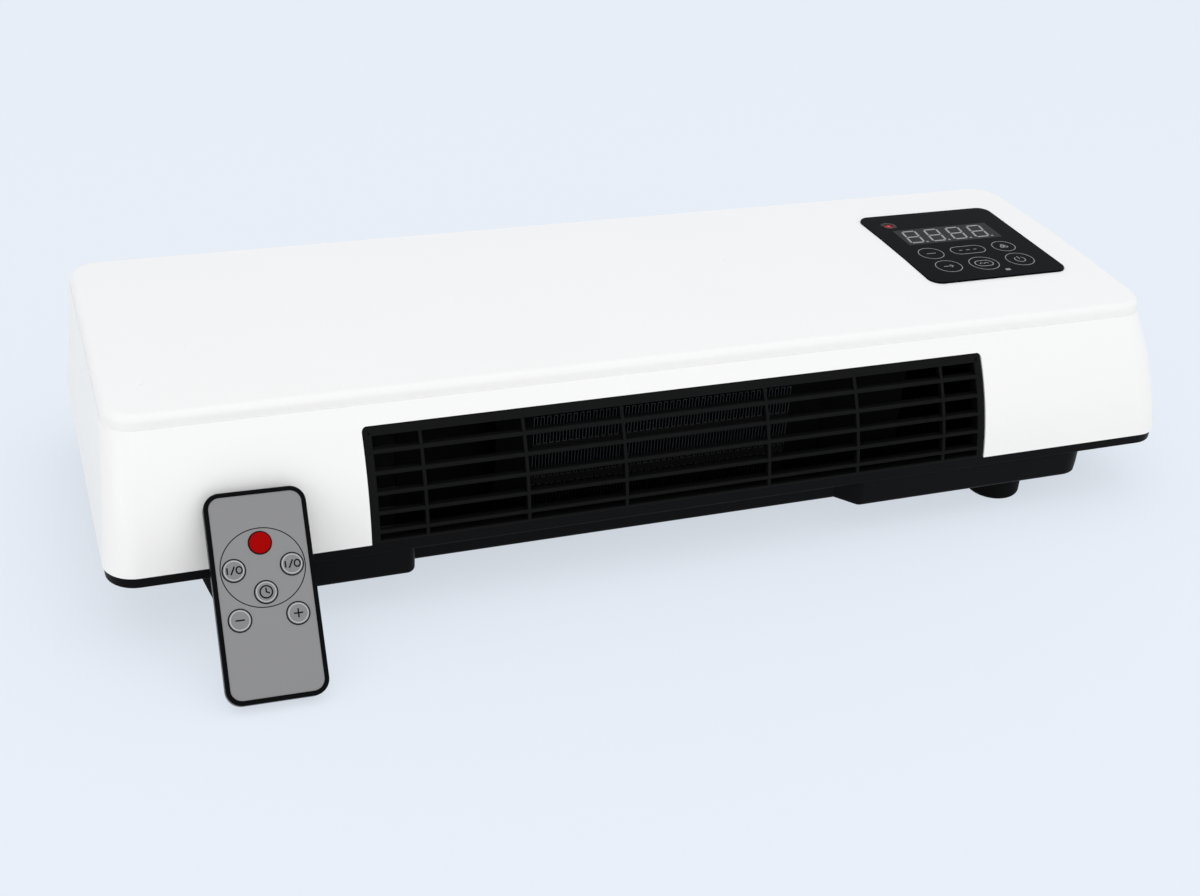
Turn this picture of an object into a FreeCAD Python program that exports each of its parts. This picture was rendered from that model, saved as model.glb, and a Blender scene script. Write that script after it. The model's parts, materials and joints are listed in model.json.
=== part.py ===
import FreeCAD, Part
import math
import os
import re
import Sketcher

# Portable ceramic heater with a card remote control that leans on its front.
# Millimetres, +Z up, the long side along X and the outlet grille towards -Y.
# The origin is on the floor, under the middle of the heater and the remote together.

# Driving dimensions, one cell each
SIZES = {
    # white cover
    "case_length": 500,
    "case_depth": 180,
    "case_corner": 13.5,
    "wall": 2.5,
    "body_height": 52.8,
    "front_lean": 24,
    "front_bulge": 4.05,
    "end_lean": 5.5,
    "back_lean": 4,
    "plateau_height": 6,
    "plateau_inset": 0.6,
    "plateau_edge": 3.5,
    "crown": 2,
    # black base
    "foot_height": 15.5,
    "pan_height": 13.5,
    "rim_thick": 5.2,
    "rim_inset": 0.8,
    "rim_edge": 0.6,
    "pan_end_left": 36.3,
    "pan_end_right": 41,
    "pan_lean": 5.5,
    "pan_setback": 11.2,
    "pan_back": 8,
    "pan_corner": 11,
    "pan_edge": 2,
    "pad_front": 1.8,
    "pad_left_width": 89.2,
    "pad_right_width": 123,
    "pad_slope_left": 1.5,
    "pad_slope_right": 8,
    "pad_round": 4,
    # feet
    "foot_root": 17,
    "foot_radius": 13,
    "foot_tread": 11,
    "foot_stud": 4,
    "foot_inset_left": 30.2,
    "foot_inset_right": 35,
    "foot_inset_front": 22,
    "foot_inset_back": 22,
    # wall keyholes in the pan
    "keyhole_span": 280,
    "keyhole_entry": 4.5,
    "keyhole_neck": 2.2,
    "keyhole_travel": 9,
    "keyhole_back": 48,
    # clearances
    "fit_gap": 0.3,
    "run_gap": 0.05,
    # outlet grille
    "grille_centre": 2.5,
    "grille_width": 292,
    "grille_height": 45.9,
    "grille_corner": 2.2,
    "grille_frame": 3.6,
    "grille_sill": 1.2,
    "grille_recess": 0.4,
    "grille_depth": 6.5,
    "bar_thick": 1.6,
    "bar_depth": 3.5,
    "bar_first": 9.5,
    "bar_pitch": 7.9,
    "post_centre": 3.6,
    "post_first": 34,
    "post_pitch": 44.5,
    # intake slots in the rear wall
    "slot_width": 4,
    "slot_pitch": 9,
    "slot_height": 26,
    "slot_lift": 10.8,
    # control window and what lies under it
    "window_wide": 76.2,
    "window_deep": 80.2,
    "window_thick": 1.5,
    "window_corner": 6,
    "window_proud": 0.3,
    "window_ledge": 6,
    "window_side": 27.5,
    "window_back": 37,
    "display_wide": 52,
    "display_deep": 19,
    "display_tall": 8,
    "display_back": 28,
    "led_radius": 1.5,
    "led_side": 11.7,
    "led_back": 13,
    "key_column": 20.5,
    "key_row_back": 8.8,
    "key_row_front": 24.7,
    "touch_pad_radius": 3.5,
    "receiver_side": 6,
    "receiver_front": 11.7,
    "board_thick": 1.6,
    "board_overlap": 1.5,
    # fan
    "duct_centre": -6,
    "duct_width": 156,
    "plate_thick": 2,
    "housing_lift": 1,
    "flare": 43,
    "rotor_radius": 26,
    "rotor_side": 8,
    "fan_back": 76,
    "guide_gap": 5,
    "tongue_gap": 3,
    "disc_thick": 1.5,
    "blade_reach": 7,
    "blade_thick": 0.8,
    "blade_curve": 8,
    "hub_radius": 6,
    "hub_length": 10,
    "shaft_radius": 3,
    "bush_radius": 6,
    "bush_length": 12,
    "mount_radius": 11,
    "mount_waist": 9,
    "mount_flange": 3,
    "motor_radius": 24,
    "motor_length": 40,
    "motor_flange": 46,
    "motor_bolt_circle": 28,
    "motor_flange_thick": 2,
    "motor_tail": 4,
    # ceramic heating element
    "ptc_front": 24,
    "ptc_depth": 28,
    "plate_reach": 16,
    "blade_back": 7,
    "fin_width": 122,
    "fin_height": 13.4,
    "fin_pitch": 3,
    "fin_sheet": 0.3,
    "ptc_bar": 3.5,
    "cap_edge": 3,
    "blade_wide": 6.3,
    "blade_long": 16,
    "blade_sheet": 0.8,
    # safety devices on the duct
    "cutout_radius": 8,
    "cutout_height": 5,
    "cutout_head": 6.5,
    "fuse_radius": 2,
    "fuse_length": 12,
    "fuse_lead": 0.5,
    # power board
    "power_side": 4.5,
    "power_back": 30,
    "post_height": 6,
    "post_radius": 3,
    "post_inset": 5,
    "relay_wide": 19,
    "relay_deep": 15.5,
    "relay_tall": 15,
    "capacitor_wide": 26,
    "capacitor_deep": 10,
    "capacitor_tall": 17,
    "transformer_side": 28,
    "transformer_tall": 22,
    "terminal_wide": 30,
    "terminal_deep": 11,
    "terminal_tall": 12,
    # cable gland in the rear wall of the pan
    "gland_side": 56,
    "gland_neck": 4.4,
    "gland_flange": 5.2,
    "gland_flange_thick": 2,
    "gland_bore": 3.3,
    # leads inside the case
    "lead_radius": 1.2,
    "lead_pitch": 3.4,
    "lead_bend": 6,
    "lead_aisle": 9,
    # screws
    "screw_shank": 1.4,
    "screw_head": 3.0,
    "screw_head_tall": 2,
    "case_screw_length": 16,
    "case_screw_end": 22,
    "case_screw_front": 36,
    "case_screw_back": 22,
    "board_screw_length": 6,
    "boss_radius": 4.5,
    "board_boss_radius": 2.8,
    # remote control, in its own frame: x across, y up its length, z out of its face
    "remote_width": 40.2,
    "remote_length": 83.6,
    "remote_thick": 6.5,
    "remote_corner": 6.5,
    "remote_rim": 1.8,
    "remote_edge": 0.9,
    "remote_floor": 1.2,
    "remote_place": 192.3,
    "remote_lean": 48.6,
    "remote_turn": 2,
    "face_thick": 1,
    "face_recess": 0.3,
    "face_gap": 0.15,
    "button_radius": 4.2,
    "button_flange": 4.8,
    "button_flange_thick": 0.6,
    "button_proud": 0.5,
    "button_dome": 0.5,
    "button_stem": 2,
    "button_stem_long": 0.4,
    "button_travel": 0.4,
    "button_column": 11.3,
    "button_row": 9.8,
    "button_first": 32.8,
    "card_thick": 0.8,
    "card_edge": 1.2,
    "dome_radius": 3.5,
    "dome_tall": 0.45,
    "diode_radius": 1.5,
    "tray_half": 13,
    "tray_gap": 1.3,
    "tray_tall": 3.2,
    "tray_floor": 0.5,
    "cell_radius": 10,
    "cell_thick": 2.5,
}

# Counts
SLOT_COUNT = 25
BLADE_COUNT = 28
FIN_ROWS = 3
BAR_COUNT = 5
POSTS_PER_SIDE = 3

# Places that follow from the sizes
PLACES = {
    # levels of the case
    "rim_bottom": "foot_height + pan_height",
    "rim_top": "rim_bottom + rim_thick",
    "crease": "rim_top + body_height",
    "plateau_top": "crease + plateau_height",
    "roof_top": "plateau_top + crown",
    "pan_floor": "foot_height + wall",
    # circle of the front face, in the side view
    "front_chord": "sqrt(front_lean^2 + body_height^2)",
    "front_radius": "front_chord^2 / (8 * front_bulge) + front_bulge / 2",
    "front_centre_y": "front_lean / 2 + (front_radius - front_bulge) * body_height / front_chord",
    "front_centre_z": "rim_top + body_height / 2 - (front_radius - front_bulge) * front_lean / front_chord",
    # plateau and the circle of its crown
    "plateau_half": "case_length / 2 - end_lean - plateau_inset",
    "plateau_front": "front_lean + plateau_inset",
    "plateau_back": "case_depth - back_lean - plateau_inset",
    "plateau_mid": "(plateau_front + plateau_back) / 2",
    "crown_radius": "((plateau_back - plateau_front)^2 / 4 + crown^2) / (2 * crown)",
    "crown_centre": "roof_top - crown_radius",
    # control window
    "window_x": "case_length / 2 - window_side - window_wide / 2",
    "window_y": "case_depth - window_back - window_deep / 2",
    "window_top": "roof_top + window_proud",
    "window_bottom": "window_top - window_thick",
    "display_y": "window_y + window_deep / 2 - display_back",
    "led_x": "window_x - window_wide / 2 + led_side",
    "led_y": "window_y + window_deep / 2 - led_back",
    "receiver_y": "window_y - window_deep / 2 + receiver_front",
    "board_top": "window_bottom - display_tall",
    "board_half_x": "window_wide / 2 + board_overlap",
    "board_half_y": "window_deep / 2 + board_overlap",
    "board_boss_x": "window_wide / 2 - window_ledge + board_boss_radius",
    "board_boss_y": "window_deep / 2 - window_ledge + board_boss_radius",
    # duct, element and fan
    "duct_left": "duct_centre - duct_width / 2",
    "duct_right": "duct_centre + duct_width / 2",
    "duct_floor": "pan_floor + housing_lift + plate_thick",
    "element_height": f"{FIN_ROWS} * fin_height + {FIN_ROWS - 1} * ptc_bar",
    "element_bottom": "duct_floor + cap_edge",
    "cap_top": "element_bottom + element_height + cap_edge",
    "duct_roof": "cap_top + fit_gap",
    "duct_roof_top": "duct_roof + plate_thick",
    "element_left": "duct_centre - fin_width / 2",
    "element_right": "duct_centre + fin_width / 2",
    "element_back": "ptc_front + ptc_depth",
    "plate_front": "element_back - plate_reach",
    "blade_mid": "element_back - blade_back",
    "fan_y": "case_depth - fan_back",
    "fan_z": "duct_floor + guide_gap + rotor_radius",
    "guide_radius": "rotor_radius + guide_gap",
    "plate_back": "fan_y + guide_radius + 2 * plate_thick",
    "plate_top": "fan_z + rotor_radius + 2 * plate_thick",
    "tongue": "fan_y - sqrt((rotor_radius + tongue_gap)^2 - (duct_roof - fan_z)^2)",
    "rotor_left": "duct_left + rotor_side",
    "rotor_right": "duct_right - rotor_side",
    "bush_mid": "duct_left - plate_thick / 2",
    "motor_start": "duct_right + plate_thick",
    "motor_end": "motor_start + motor_flange_thick + motor_length",
    "motor_bolt": "motor_bolt_circle / sqrt(2)",
    # power board
    "power_wide": "2 * relay_wide + 3 * post_inset",
    "power_deep": "relay_deep + capacitor_deep + transformer_side + terminal_deep + 7 * post_inset",
    "power_left": "pan_lean + power_side - pan_left",
    "power_right": "power_left + power_wide",
    "power_rear": "case_depth - power_back",
    "power_front": "power_rear - power_deep",
    "power_bottom": "pan_floor + post_height",
    "power_top": "power_bottom + board_thick",
    # leads: an aisle behind the duct and one beside the power board
    "aisle_y": "plate_back + lead_aisle",
    "aisle_x": "power_right + lead_aisle",
    "lead_low": "power_top + 2 * lead_pitch",
    "parts_left": "power_left + post_inset",
    "relay_row": "power_front + 2 * post_inset",
    "capacitor_row": "relay_row + relay_deep + post_inset",
    "transformer_row": "capacitor_row + capacitor_deep + post_inset",
    "terminal_row": "transformer_row + transformer_side + post_inset",
    # gland
    "gland_x": "pan_right - gland_side",
    "gland_z": "pan_floor + gland_flange",
    "pan_rear": "case_depth - pan_back",
    "pan_left": "case_length / 2 - pan_end_left",
    "pan_right": "case_length / 2 - pan_end_right",
    # ends of the pan's two pads
    "pad_left_end": "pad_left_width - pan_left",
    "pad_right_start": "pan_right - pad_right_width",
    # remote: the highest rear edge stops just short of the heater's front
    "remote_skew": "sqrt(sin(remote_turn)^2 + (cos(remote_lean) * cos(remote_turn))^2)",
    "remote_side": "(remote_width / 2 - remote_corner) * sin(remote_turn)",
    "remote_step": "cos(remote_lean) * cos(remote_turn)",
    "remote_reach": "remote_side + (remote_length - remote_corner) * remote_step"
                    " + remote_corner * remote_skew",
    "remote_head": "remote_length * sin(remote_lean)",
    "remote_y": "front_centre_y - sqrt(front_radius^2 - (remote_head - front_centre_z)^2)"
                " - fit_gap - remote_reach",
    "remote_rise": "sin(remote_lean) * cos(remote_turn)",
    "remote_nose": "remote_y - remote_side + remote_corner * (remote_step - remote_skew)"
                   " - remote_thick * remote_rise + remote_edge * (remote_skew + remote_rise - 1)",
    "face_top": "remote_thick - face_recess",
    "face_bottom": "face_top - face_thick",
    "button_low": "face_bottom - face_gap - button_flange_thick",
    "stem_low": "button_low - button_stem_long",
    "card_top": "stem_low - button_travel - run_gap - dome_tall",
    "card_bottom": "card_top - card_thick",
    "card_low": "tray_long + remote_rim",
    "card_high": "remote_length - remote_rim - 3 * diode_radius",
    "tray_bottom": "remote_floor + face_gap",
    "tray_long": "button_first - button_flange - tray_gap",
    # middle of heater and remote together, which is the origin
    "set_mid": "(case_depth + remote_nose) / 2",
}

doc = FreeCAD.newDocument("ceramic_heater")
sheet = doc.addObject("Spreadsheet::Sheet", "Sizes")
for row, (size_name, size_value) in enumerate(SIZES.items(), start=1):
    sheet.set(f"A{row}", size_name)
    sheet.set(f"B{row}", str(size_value))
    sheet.setAlias(f"B{row}", size_name)
doc.recompute()


def formula(text):
    """Replace each size by its cell and each place by its own formula."""
    def swap(match):
        word = match.group(0)
        if word in SIZES:
            return "Sizes." + word
        if word in PLACES:
            return "(" + formula(PLACES[word]) + ")"
        return word
    return re.sub(r"[A-Za-z_][A-Za-z_0-9]*", swap, text)


def number(text):
    """The present value of a formula."""
    return float(sheet.evalExpression(formula(text)))


def bind(item, field, text):
    item.setExpression(field, formula(text))


def front_at(level, inset):
    """Depth of the front face at a level, for a skin set in by inset."""
    return f"front_centre_y - sqrt((front_radius - ({inset}))^2 - (({level}) - front_centre_z)^2)"


def back_at(level, inset):
    return f"case_depth - ({inset}) - back_lean * (({level}) - rim_top) / body_height"


def end_at(level, inset):
    return f"case_length / 2 - ({inset}) - end_lean * (({level}) - rim_top) / body_height"


# Simple solids, in the heater's frame

def box(name, span_x, span_y, span_z):
    item = doc.addObject("Part::Box", name)
    for field, (low, high) in zip(("Length", "Width", "Height"), (span_x, span_y, span_z)):
        bind(item, field, f"({high}) - ({low})")
    bind(item, "Placement.Base.x", span_x[0])
    bind(item, "Placement.Base.y", f"({span_y[0]}) - set_mid")
    bind(item, "Placement.Base.z", span_z[0])
    return item


TURNS = {
    "x": FreeCAD.Rotation(FreeCAD.Vector(0, 1, 0), 90),
    "y": FreeCAD.Rotation(FreeCAD.Vector(1, 0, 0), -90),
    "z": FreeCAD.Rotation(),
}


def rod(name, axis, base, radius, length):
    """A cylinder that starts at base and runs along an axis."""
    item = doc.addObject("Part::Cylinder", name)
    item.Placement = FreeCAD.Placement(FreeCAD.Vector(), TURNS[axis])
    bind(item, "Radius", radius)
    bind(item, "Height", length)
    bind(item, "Placement.Base.x", base[0])
    bind(item, "Placement.Base.y", f"({base[1]}) - set_mid")
    bind(item, "Placement.Base.z", base[2])
    return item


def fuse(name, items):
    item = doc.addObject("Part::MultiFuse", name)
    item.Shapes = items
    return item


def group(name, items):
    item = doc.addObject("Part::Compound", name)
    item.Links = items
    return item


def cut(name, base, tool):
    item = doc.addObject("Part::Cut", name)
    item.Base = base
    item.Tool = tool
    return item


def common(name, first, second):
    item = doc.addObject("Part::Common", name)
    item.Base = first
    item.Tool = second
    return item


# Bodies, sketches and their features

BODY_PLACES = {
    "heater": "placement(vector(0; 0 - set_mid; 0); rotation(0; 0; 0))",
    "fan": "placement(vector(0; fan_y - set_mid; fan_z); rotation(0; 0; 0))",
    "remote": "placement(vector(0 - remote_place; remote_y - set_mid; 0);"
              " rotation(0 - remote_turn; 0; remote_lean))",
}


def new_body(name, place="heater"):
    body = doc.addObject("PartDesign::Body", name)
    bind(body, "Placement", BODY_PLACES[place])
    return body


def new_sketch(body, name, plane, offset="0"):
    """A sketch on one of the body's own planes, moved along that plane's normal."""
    sketch = body.newObject("Sketcher::SketchObject", name)
    planes = [item for item in body.Origin.OriginFeatures if item.Role == plane + "_Plane"]
    sketch.AttachmentSupport = [(planes[0], "")]
    sketch.MapMode = "FlatFace"
    bind(sketch, "AttachmentOffset.Base.z", offset)
    return sketch


def fix(sketch, kind, places, text):
    """Add one dimension to a sketch and bind it to a formula."""
    index = sketch.addConstraint(Sketcher.Constraint(kind, *places, number(text)))
    bind(sketch, f"Constraints[{index}]", text)


def arc_between(start, stop, radius, clockwise):
    """The shorter arc from start to stop."""
    chord = stop - start
    side = FreeCAD.Vector(-chord.y, chord.x, 0).normalize()
    rise = math.sqrt(max(radius ** 2 - chord.Length ** 2 / 4, 0))
    centre = (start + stop) / 2 + side * (-rise if clockwise else rise)
    first, last = (stop, start) if clockwise else (start, stop)
    angles = [math.atan2(point.y - centre.y, point.x - centre.x) for point in (first, last)]
    return Part.ArcOfCircle(Part.Circle(centre, FreeCAD.Vector(0, 0, 1), radius), *angles)


def loop(sketch, points):
    """A closed outline. A point with a radius and a turn starts an arc to the next point."""
    places = [FreeCAD.Vector(number(point[0]), number(point[1]), 0) for point in points]
    pieces = []
    for index, point in enumerate(points):
        start = places[index]
        stop = places[(index + 1) % len(points)]
        if len(point) == 2:
            geometry = sketch.addGeometry(Part.LineSegment(start, stop), False)
            pieces.append((geometry, 1, 2))
            continue
        clockwise = point[3] == "clockwise"
        arc = arc_between(start, stop, number(point[2]), clockwise)
        geometry = sketch.addGeometry(arc, False)
        pieces.append((geometry, 2, 1) if clockwise else (geometry, 1, 2))
    for index, (geometry, _, last) in enumerate(pieces):
        following, first, _ = pieces[(index + 1) % len(pieces)]
        sketch.addConstraint(Sketcher.Constraint("Coincident", geometry, last, following, first))
    for point, (geometry, first, _) in zip(points, pieces):
        fix(sketch, "DistanceX", (-1, 1, geometry, first), point[0])
        fix(sketch, "DistanceY", (-1, 1, geometry, first), point[1])
        if len(point) > 2:
            fix(sketch, "Radius", (geometry,), point[2])


def rectangle(sketch, span_x, span_y):
    loop(sketch, [(span_x[0], span_y[0]), (span_x[1], span_y[0]),
                  (span_x[1], span_y[1]), (span_x[0], span_y[1])])


def ring(sketch, centre, radius):
    point = FreeCAD.Vector(number(centre[0]), number(centre[1]), 0)
    circle = Part.Circle(point, FreeCAD.Vector(0, 0, 1), number(radius))
    geometry = sketch.addGeometry(circle, False)
    fix(sketch, "DistanceX", (-1, 1, geometry, 3), centre[0])
    fix(sketch, "DistanceY", (-1, 1, geometry, 3), centre[1])
    fix(sketch, "Radius", (geometry,), radius)


def pad(body, sketch, length, both_ways=False):
    feature = body.newObject("PartDesign::Pad", sketch.Name + "_pad")
    feature.Profile = sketch
    feature.Midplane = both_ways
    bind(feature, "Length", length)
    return feature


def pocket(body, sketch, depth=None, both_ways=False, flip=False):
    """Cut a sketch out of a body, by a depth or right through, and see that it cut something."""
    doc.recompute()
    before = body.Tip.Shape.Volume
    feature = body.newObject("PartDesign::Pocket", sketch.Name + "_pocket")
    feature.Profile = sketch
    feature.Midplane = both_ways
    feature.Reversed = flip
    if depth is None:
        feature.Type = "ThroughAll"
    else:
        bind(feature, "Length", depth)
    doc.recompute()
    if not feature.Shape.Volume < before:
        raise RuntimeError(f"{feature.Name} cuts nothing")
    return feature


def fillet(body, name, radius, chosen):
    """Round the edges of a body that a rule chooses."""
    doc.recompute()
    base = body.Tip
    names = [f"Edge{index}" for index, edge in enumerate(base.Shape.Edges, start=1) if chosen(edge)]
    feature = body.newObject("PartDesign::Fillet", name)
    feature.Base = (base, names)
    bind(feature, "Radius", radius)
    return feature


def upright(edge):
    """True for an edge that rises more than it runs."""
    size = edge.BoundBox
    return size.ZLength > max(size.XLength, size.YLength)


def at_level(edge, level):
    """True for an edge that lies flat at one level."""
    size = edge.BoundBox
    return abs(size.ZMin - level) < 0.01 and abs(size.ZMax - level) < 0.01


NODES = []


def node(label, item):
    """Name a finished piece of the object."""
    item.Label = label
    NODES.append(item)
    return item


# White cover

def grille_block(name, gap, low):
    """The grille's outline with round upper corners, set in by a gap, as deep as the duct lets it be."""
    block = new_body(name)
    view = new_sketch(block, name + "_view", "XZ", "0 - plate_front")
    half = f"(grille_width / 2 - ({gap}))"
    high = f"rim_top + grille_height - ({gap})"
    rectangle(view, (f"grille_centre - {half}", f"grille_centre + {half}"), (low, high))
    pad(block, view, "plate_front + wall")
    top = number(high)
    fillet(block, name + "_corners", f"grille_corner - ({gap})",
           lambda edge: at_level(edge, top) and edge.BoundBox.YLength > edge.BoundBox.XLength)
    return block


def case_block(name, inset, low, high, edge):
    """The solid form of the case for a skin set in by inset, between two levels, and its plateau."""
    body = new_body(name)
    side = new_sketch(body, name + "_side", "YZ")
    loop(side, [
        (front_at(low, inset), low, f"front_radius - ({inset})", "clockwise"),
        (front_at(high, inset), high),
        (back_at(high, inset), high),
        (back_at(low, inset), low),
    ])
    pad(body, side, "case_length", both_ways=True)
    ends = new_sketch(body, name + "_ends", "XZ")
    for sign in ("-1", "1"):
        loop(ends, [
            (f"{sign} * ({end_at(low, inset)})", low),
            (f"{sign} * (case_length / 2 + wall)", low),
            (f"{sign} * (case_length / 2 + wall)", high),
            (f"{sign} * ({end_at(high, inset)})", high),
        ])
    pocket(body, ends, both_ways=True)
    tall = number(high) - number(low)
    fillet(body, name + "_corners", f"case_corner - ({inset})",
           lambda size: size.BoundBox.ZLength > 0.9 * tall)
    plateau = new_body(name + "_plateau")
    root = f"({high}) - 2 * wall"
    plan = new_sketch(plateau, name + "_plan", "XY", root)
    half = f"plateau_half - ({inset})"
    rectangle(plan, (f"0 - ({half})", half),
              (f"plateau_front + ({inset})", f"plateau_back - ({inset})"))
    pad(plateau, plan, f"roof_top - ({inset}) - ({root})")
    fillet(plateau, name + "_plateau_corners", f"case_corner - ({inset})", upright)
    arch = new_sketch(plateau, name + "_arch", "YZ")
    reach = "(plateau_back - plateau_front) / sqrt(3)"
    arch_low = f"crown_centre + sqrt((crown_radius - ({inset}))^2 - ({reach})^2)"
    loop(arch, [
        (f"plateau_mid - {reach}", arch_low, f"crown_radius - ({inset})", "clockwise"),
        (f"plateau_mid + {reach}", arch_low),
        (f"plateau_mid + {reach}", "roof_top + wall"),
        (f"plateau_mid - {reach}", "roof_top + wall"),
    ])
    pocket(plateau, arch, both_ways=True)
    eaves = number(f"plateau_top - ({inset})")
    fillet(plateau, name + "_plateau_edge", edge, lambda size: size.BoundBox.ZMin > eaves - 0.5)
    return fuse(name + "_form", [body, plateau])


def case_screw_spots():
    """The four places of the case screws, as x and y."""
    for side in ("-1", "1"):
        for depth in ("case_screw_front", "case_depth - case_screw_back"):
            yield f"{side} * (case_length / 2 - case_screw_end)", depth


def board_boss_spots():
    """The four places of the control board's screws, as x and y."""
    for side in ("-", "+"):
        for depth in ("-", "+"):
            yield f"window_x {side} board_boss_x", f"window_y {depth} board_boss_y"


def top_cover():
    outer = case_block("cover_outer", "0", "rim_top", "crease", "plateau_edge")
    inner = case_block("cover_inner", "wall", "rim_top - wall", "crease - wall / 2", "plateau_edge / 4")
    shell = cut("cover_shell", outer, inner)
    bosses = []
    holes = []
    for index, (x, y) in enumerate(case_screw_spots()):
        bosses.append(rod(f"case_boss_{index}", "z", (x, y, "rim_top"), "boss_radius",
                          "plateau_top - wall / 2 - rim_top"))
        holes.append(rod(f"case_pilot_{index}", "z", (x, y, "rim_top - wall"), "screw_shank + run_gap",
                         "case_screw_length + wall"))
    for index, (x, y) in enumerate(board_boss_spots()):
        bosses.append(rod(f"board_boss_{index}", "z", (x, y, "board_top"), "board_boss_radius",
                          "window_bottom - wall / 4 - board_top"))
        holes.append(rod(f"board_pilot_{index}", "z", (x, y, "board_top - wall"), "screw_shank + run_gap",
                         "board_screw_length - board_thick + wall"))
    holes.append(grille_block("grille_notch", "0", "rim_top - wall"))
    recess = new_body("window_recess")
    plan = new_sketch(recess, "window_recess_plan", "XY", "window_bottom")
    rectangle(plan, ("window_x - window_wide / 2 - fit_gap", "window_x + window_wide / 2 + fit_gap"),
              ("window_y - window_deep / 2 - fit_gap", "window_y + window_deep / 2 + fit_gap"))
    pad(recess, plan, "window_thick + wall")
    fillet(recess, "window_recess_corners", "window_corner + fit_gap", upright)
    holes.append(recess)
    ledge_x = "(window_wide / 2 - window_ledge)"
    ledge_y = "(window_deep / 2 - window_ledge)"
    holes.append(box("window_opening", (f"window_x - {ledge_x}", f"window_x + {ledge_x}"),
                     (f"window_y - {ledge_y}", f"window_y + {ledge_y}"), ("board_top", "roof_top + wall")))
    for index in range(SLOT_COUNT):
        middle = f"duct_centre + ({index - (SLOT_COUNT - 1) / 2}) * slot_pitch"
        span_x = (f"{middle} - slot_width / 2", f"{middle} + slot_width / 2")
        holes.append(box(f"intake_slot_{index}", span_x,
                         ("case_depth - back_lean - 3 * wall", "case_depth + wall"),
                         ("rim_top + slot_lift", "rim_top + slot_lift + slot_height")))
    solid = fuse("cover_solid", [shell] + bosses)
    node("top_cover", cut("cover_cut", solid, fuse("cover_holes", holes)))


# Black base

def pan_outline(sketch, inset, lean):
    """Plan of the pan with its two forward pads, set in by a wall all round and by a lean at the ends."""
    left = f"{lean} - pan_left + ({inset})"
    left_step = f"pad_left_end - ({inset})"
    right_step = f"pad_right_start + ({inset})"
    right = f"pan_right - {lean} - ({inset})"
    front = f"pad_front + ({inset})"
    middle = f"pan_setback + ({inset})"
    rear = f"pan_rear - ({inset})"
    bend = f"(pan_corner - ({inset}))"
    turn = (bend, "counterclockwise")
    loop(sketch, [
        (left, f"{front} + {bend}", *turn),
        (f"{left} + {bend}", front),
        (left_step, front),
        (f"{left_step} + pad_slope_left", middle),
        (f"{right_step} - pad_slope_right", middle),
        (right_step, front),
        (f"{right} - {bend}", front, *turn),
        (right, f"{front} + {bend}"),
        (right, f"{rear} - {bend}", *turn),
        (f"{right} - {bend}", rear),
        (f"{left} + {bend}", rear, *turn),
        (left, f"{rear} - {bend}"),
    ])


def power_post_spots():
    """The four places of the power board's posts, as x and y."""
    for x in ("power_left + post_inset", "power_right - post_inset"):
        for y in ("power_front + post_inset", "power_rear - post_inset"):
            yield x, y


def foot_spots():
    """The four feet, as name, x and y."""
    left = "foot_inset_left - pan_left"
    right = "pan_right - foot_inset_right"
    front = "pad_front + foot_inset_front"
    back = "pan_rear - foot_inset_back"
    yield "foot_front_left", left, front
    yield "foot_front_right", right, front
    yield "foot_rear_left", left, back
    yield "foot_rear_right", right, back


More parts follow.
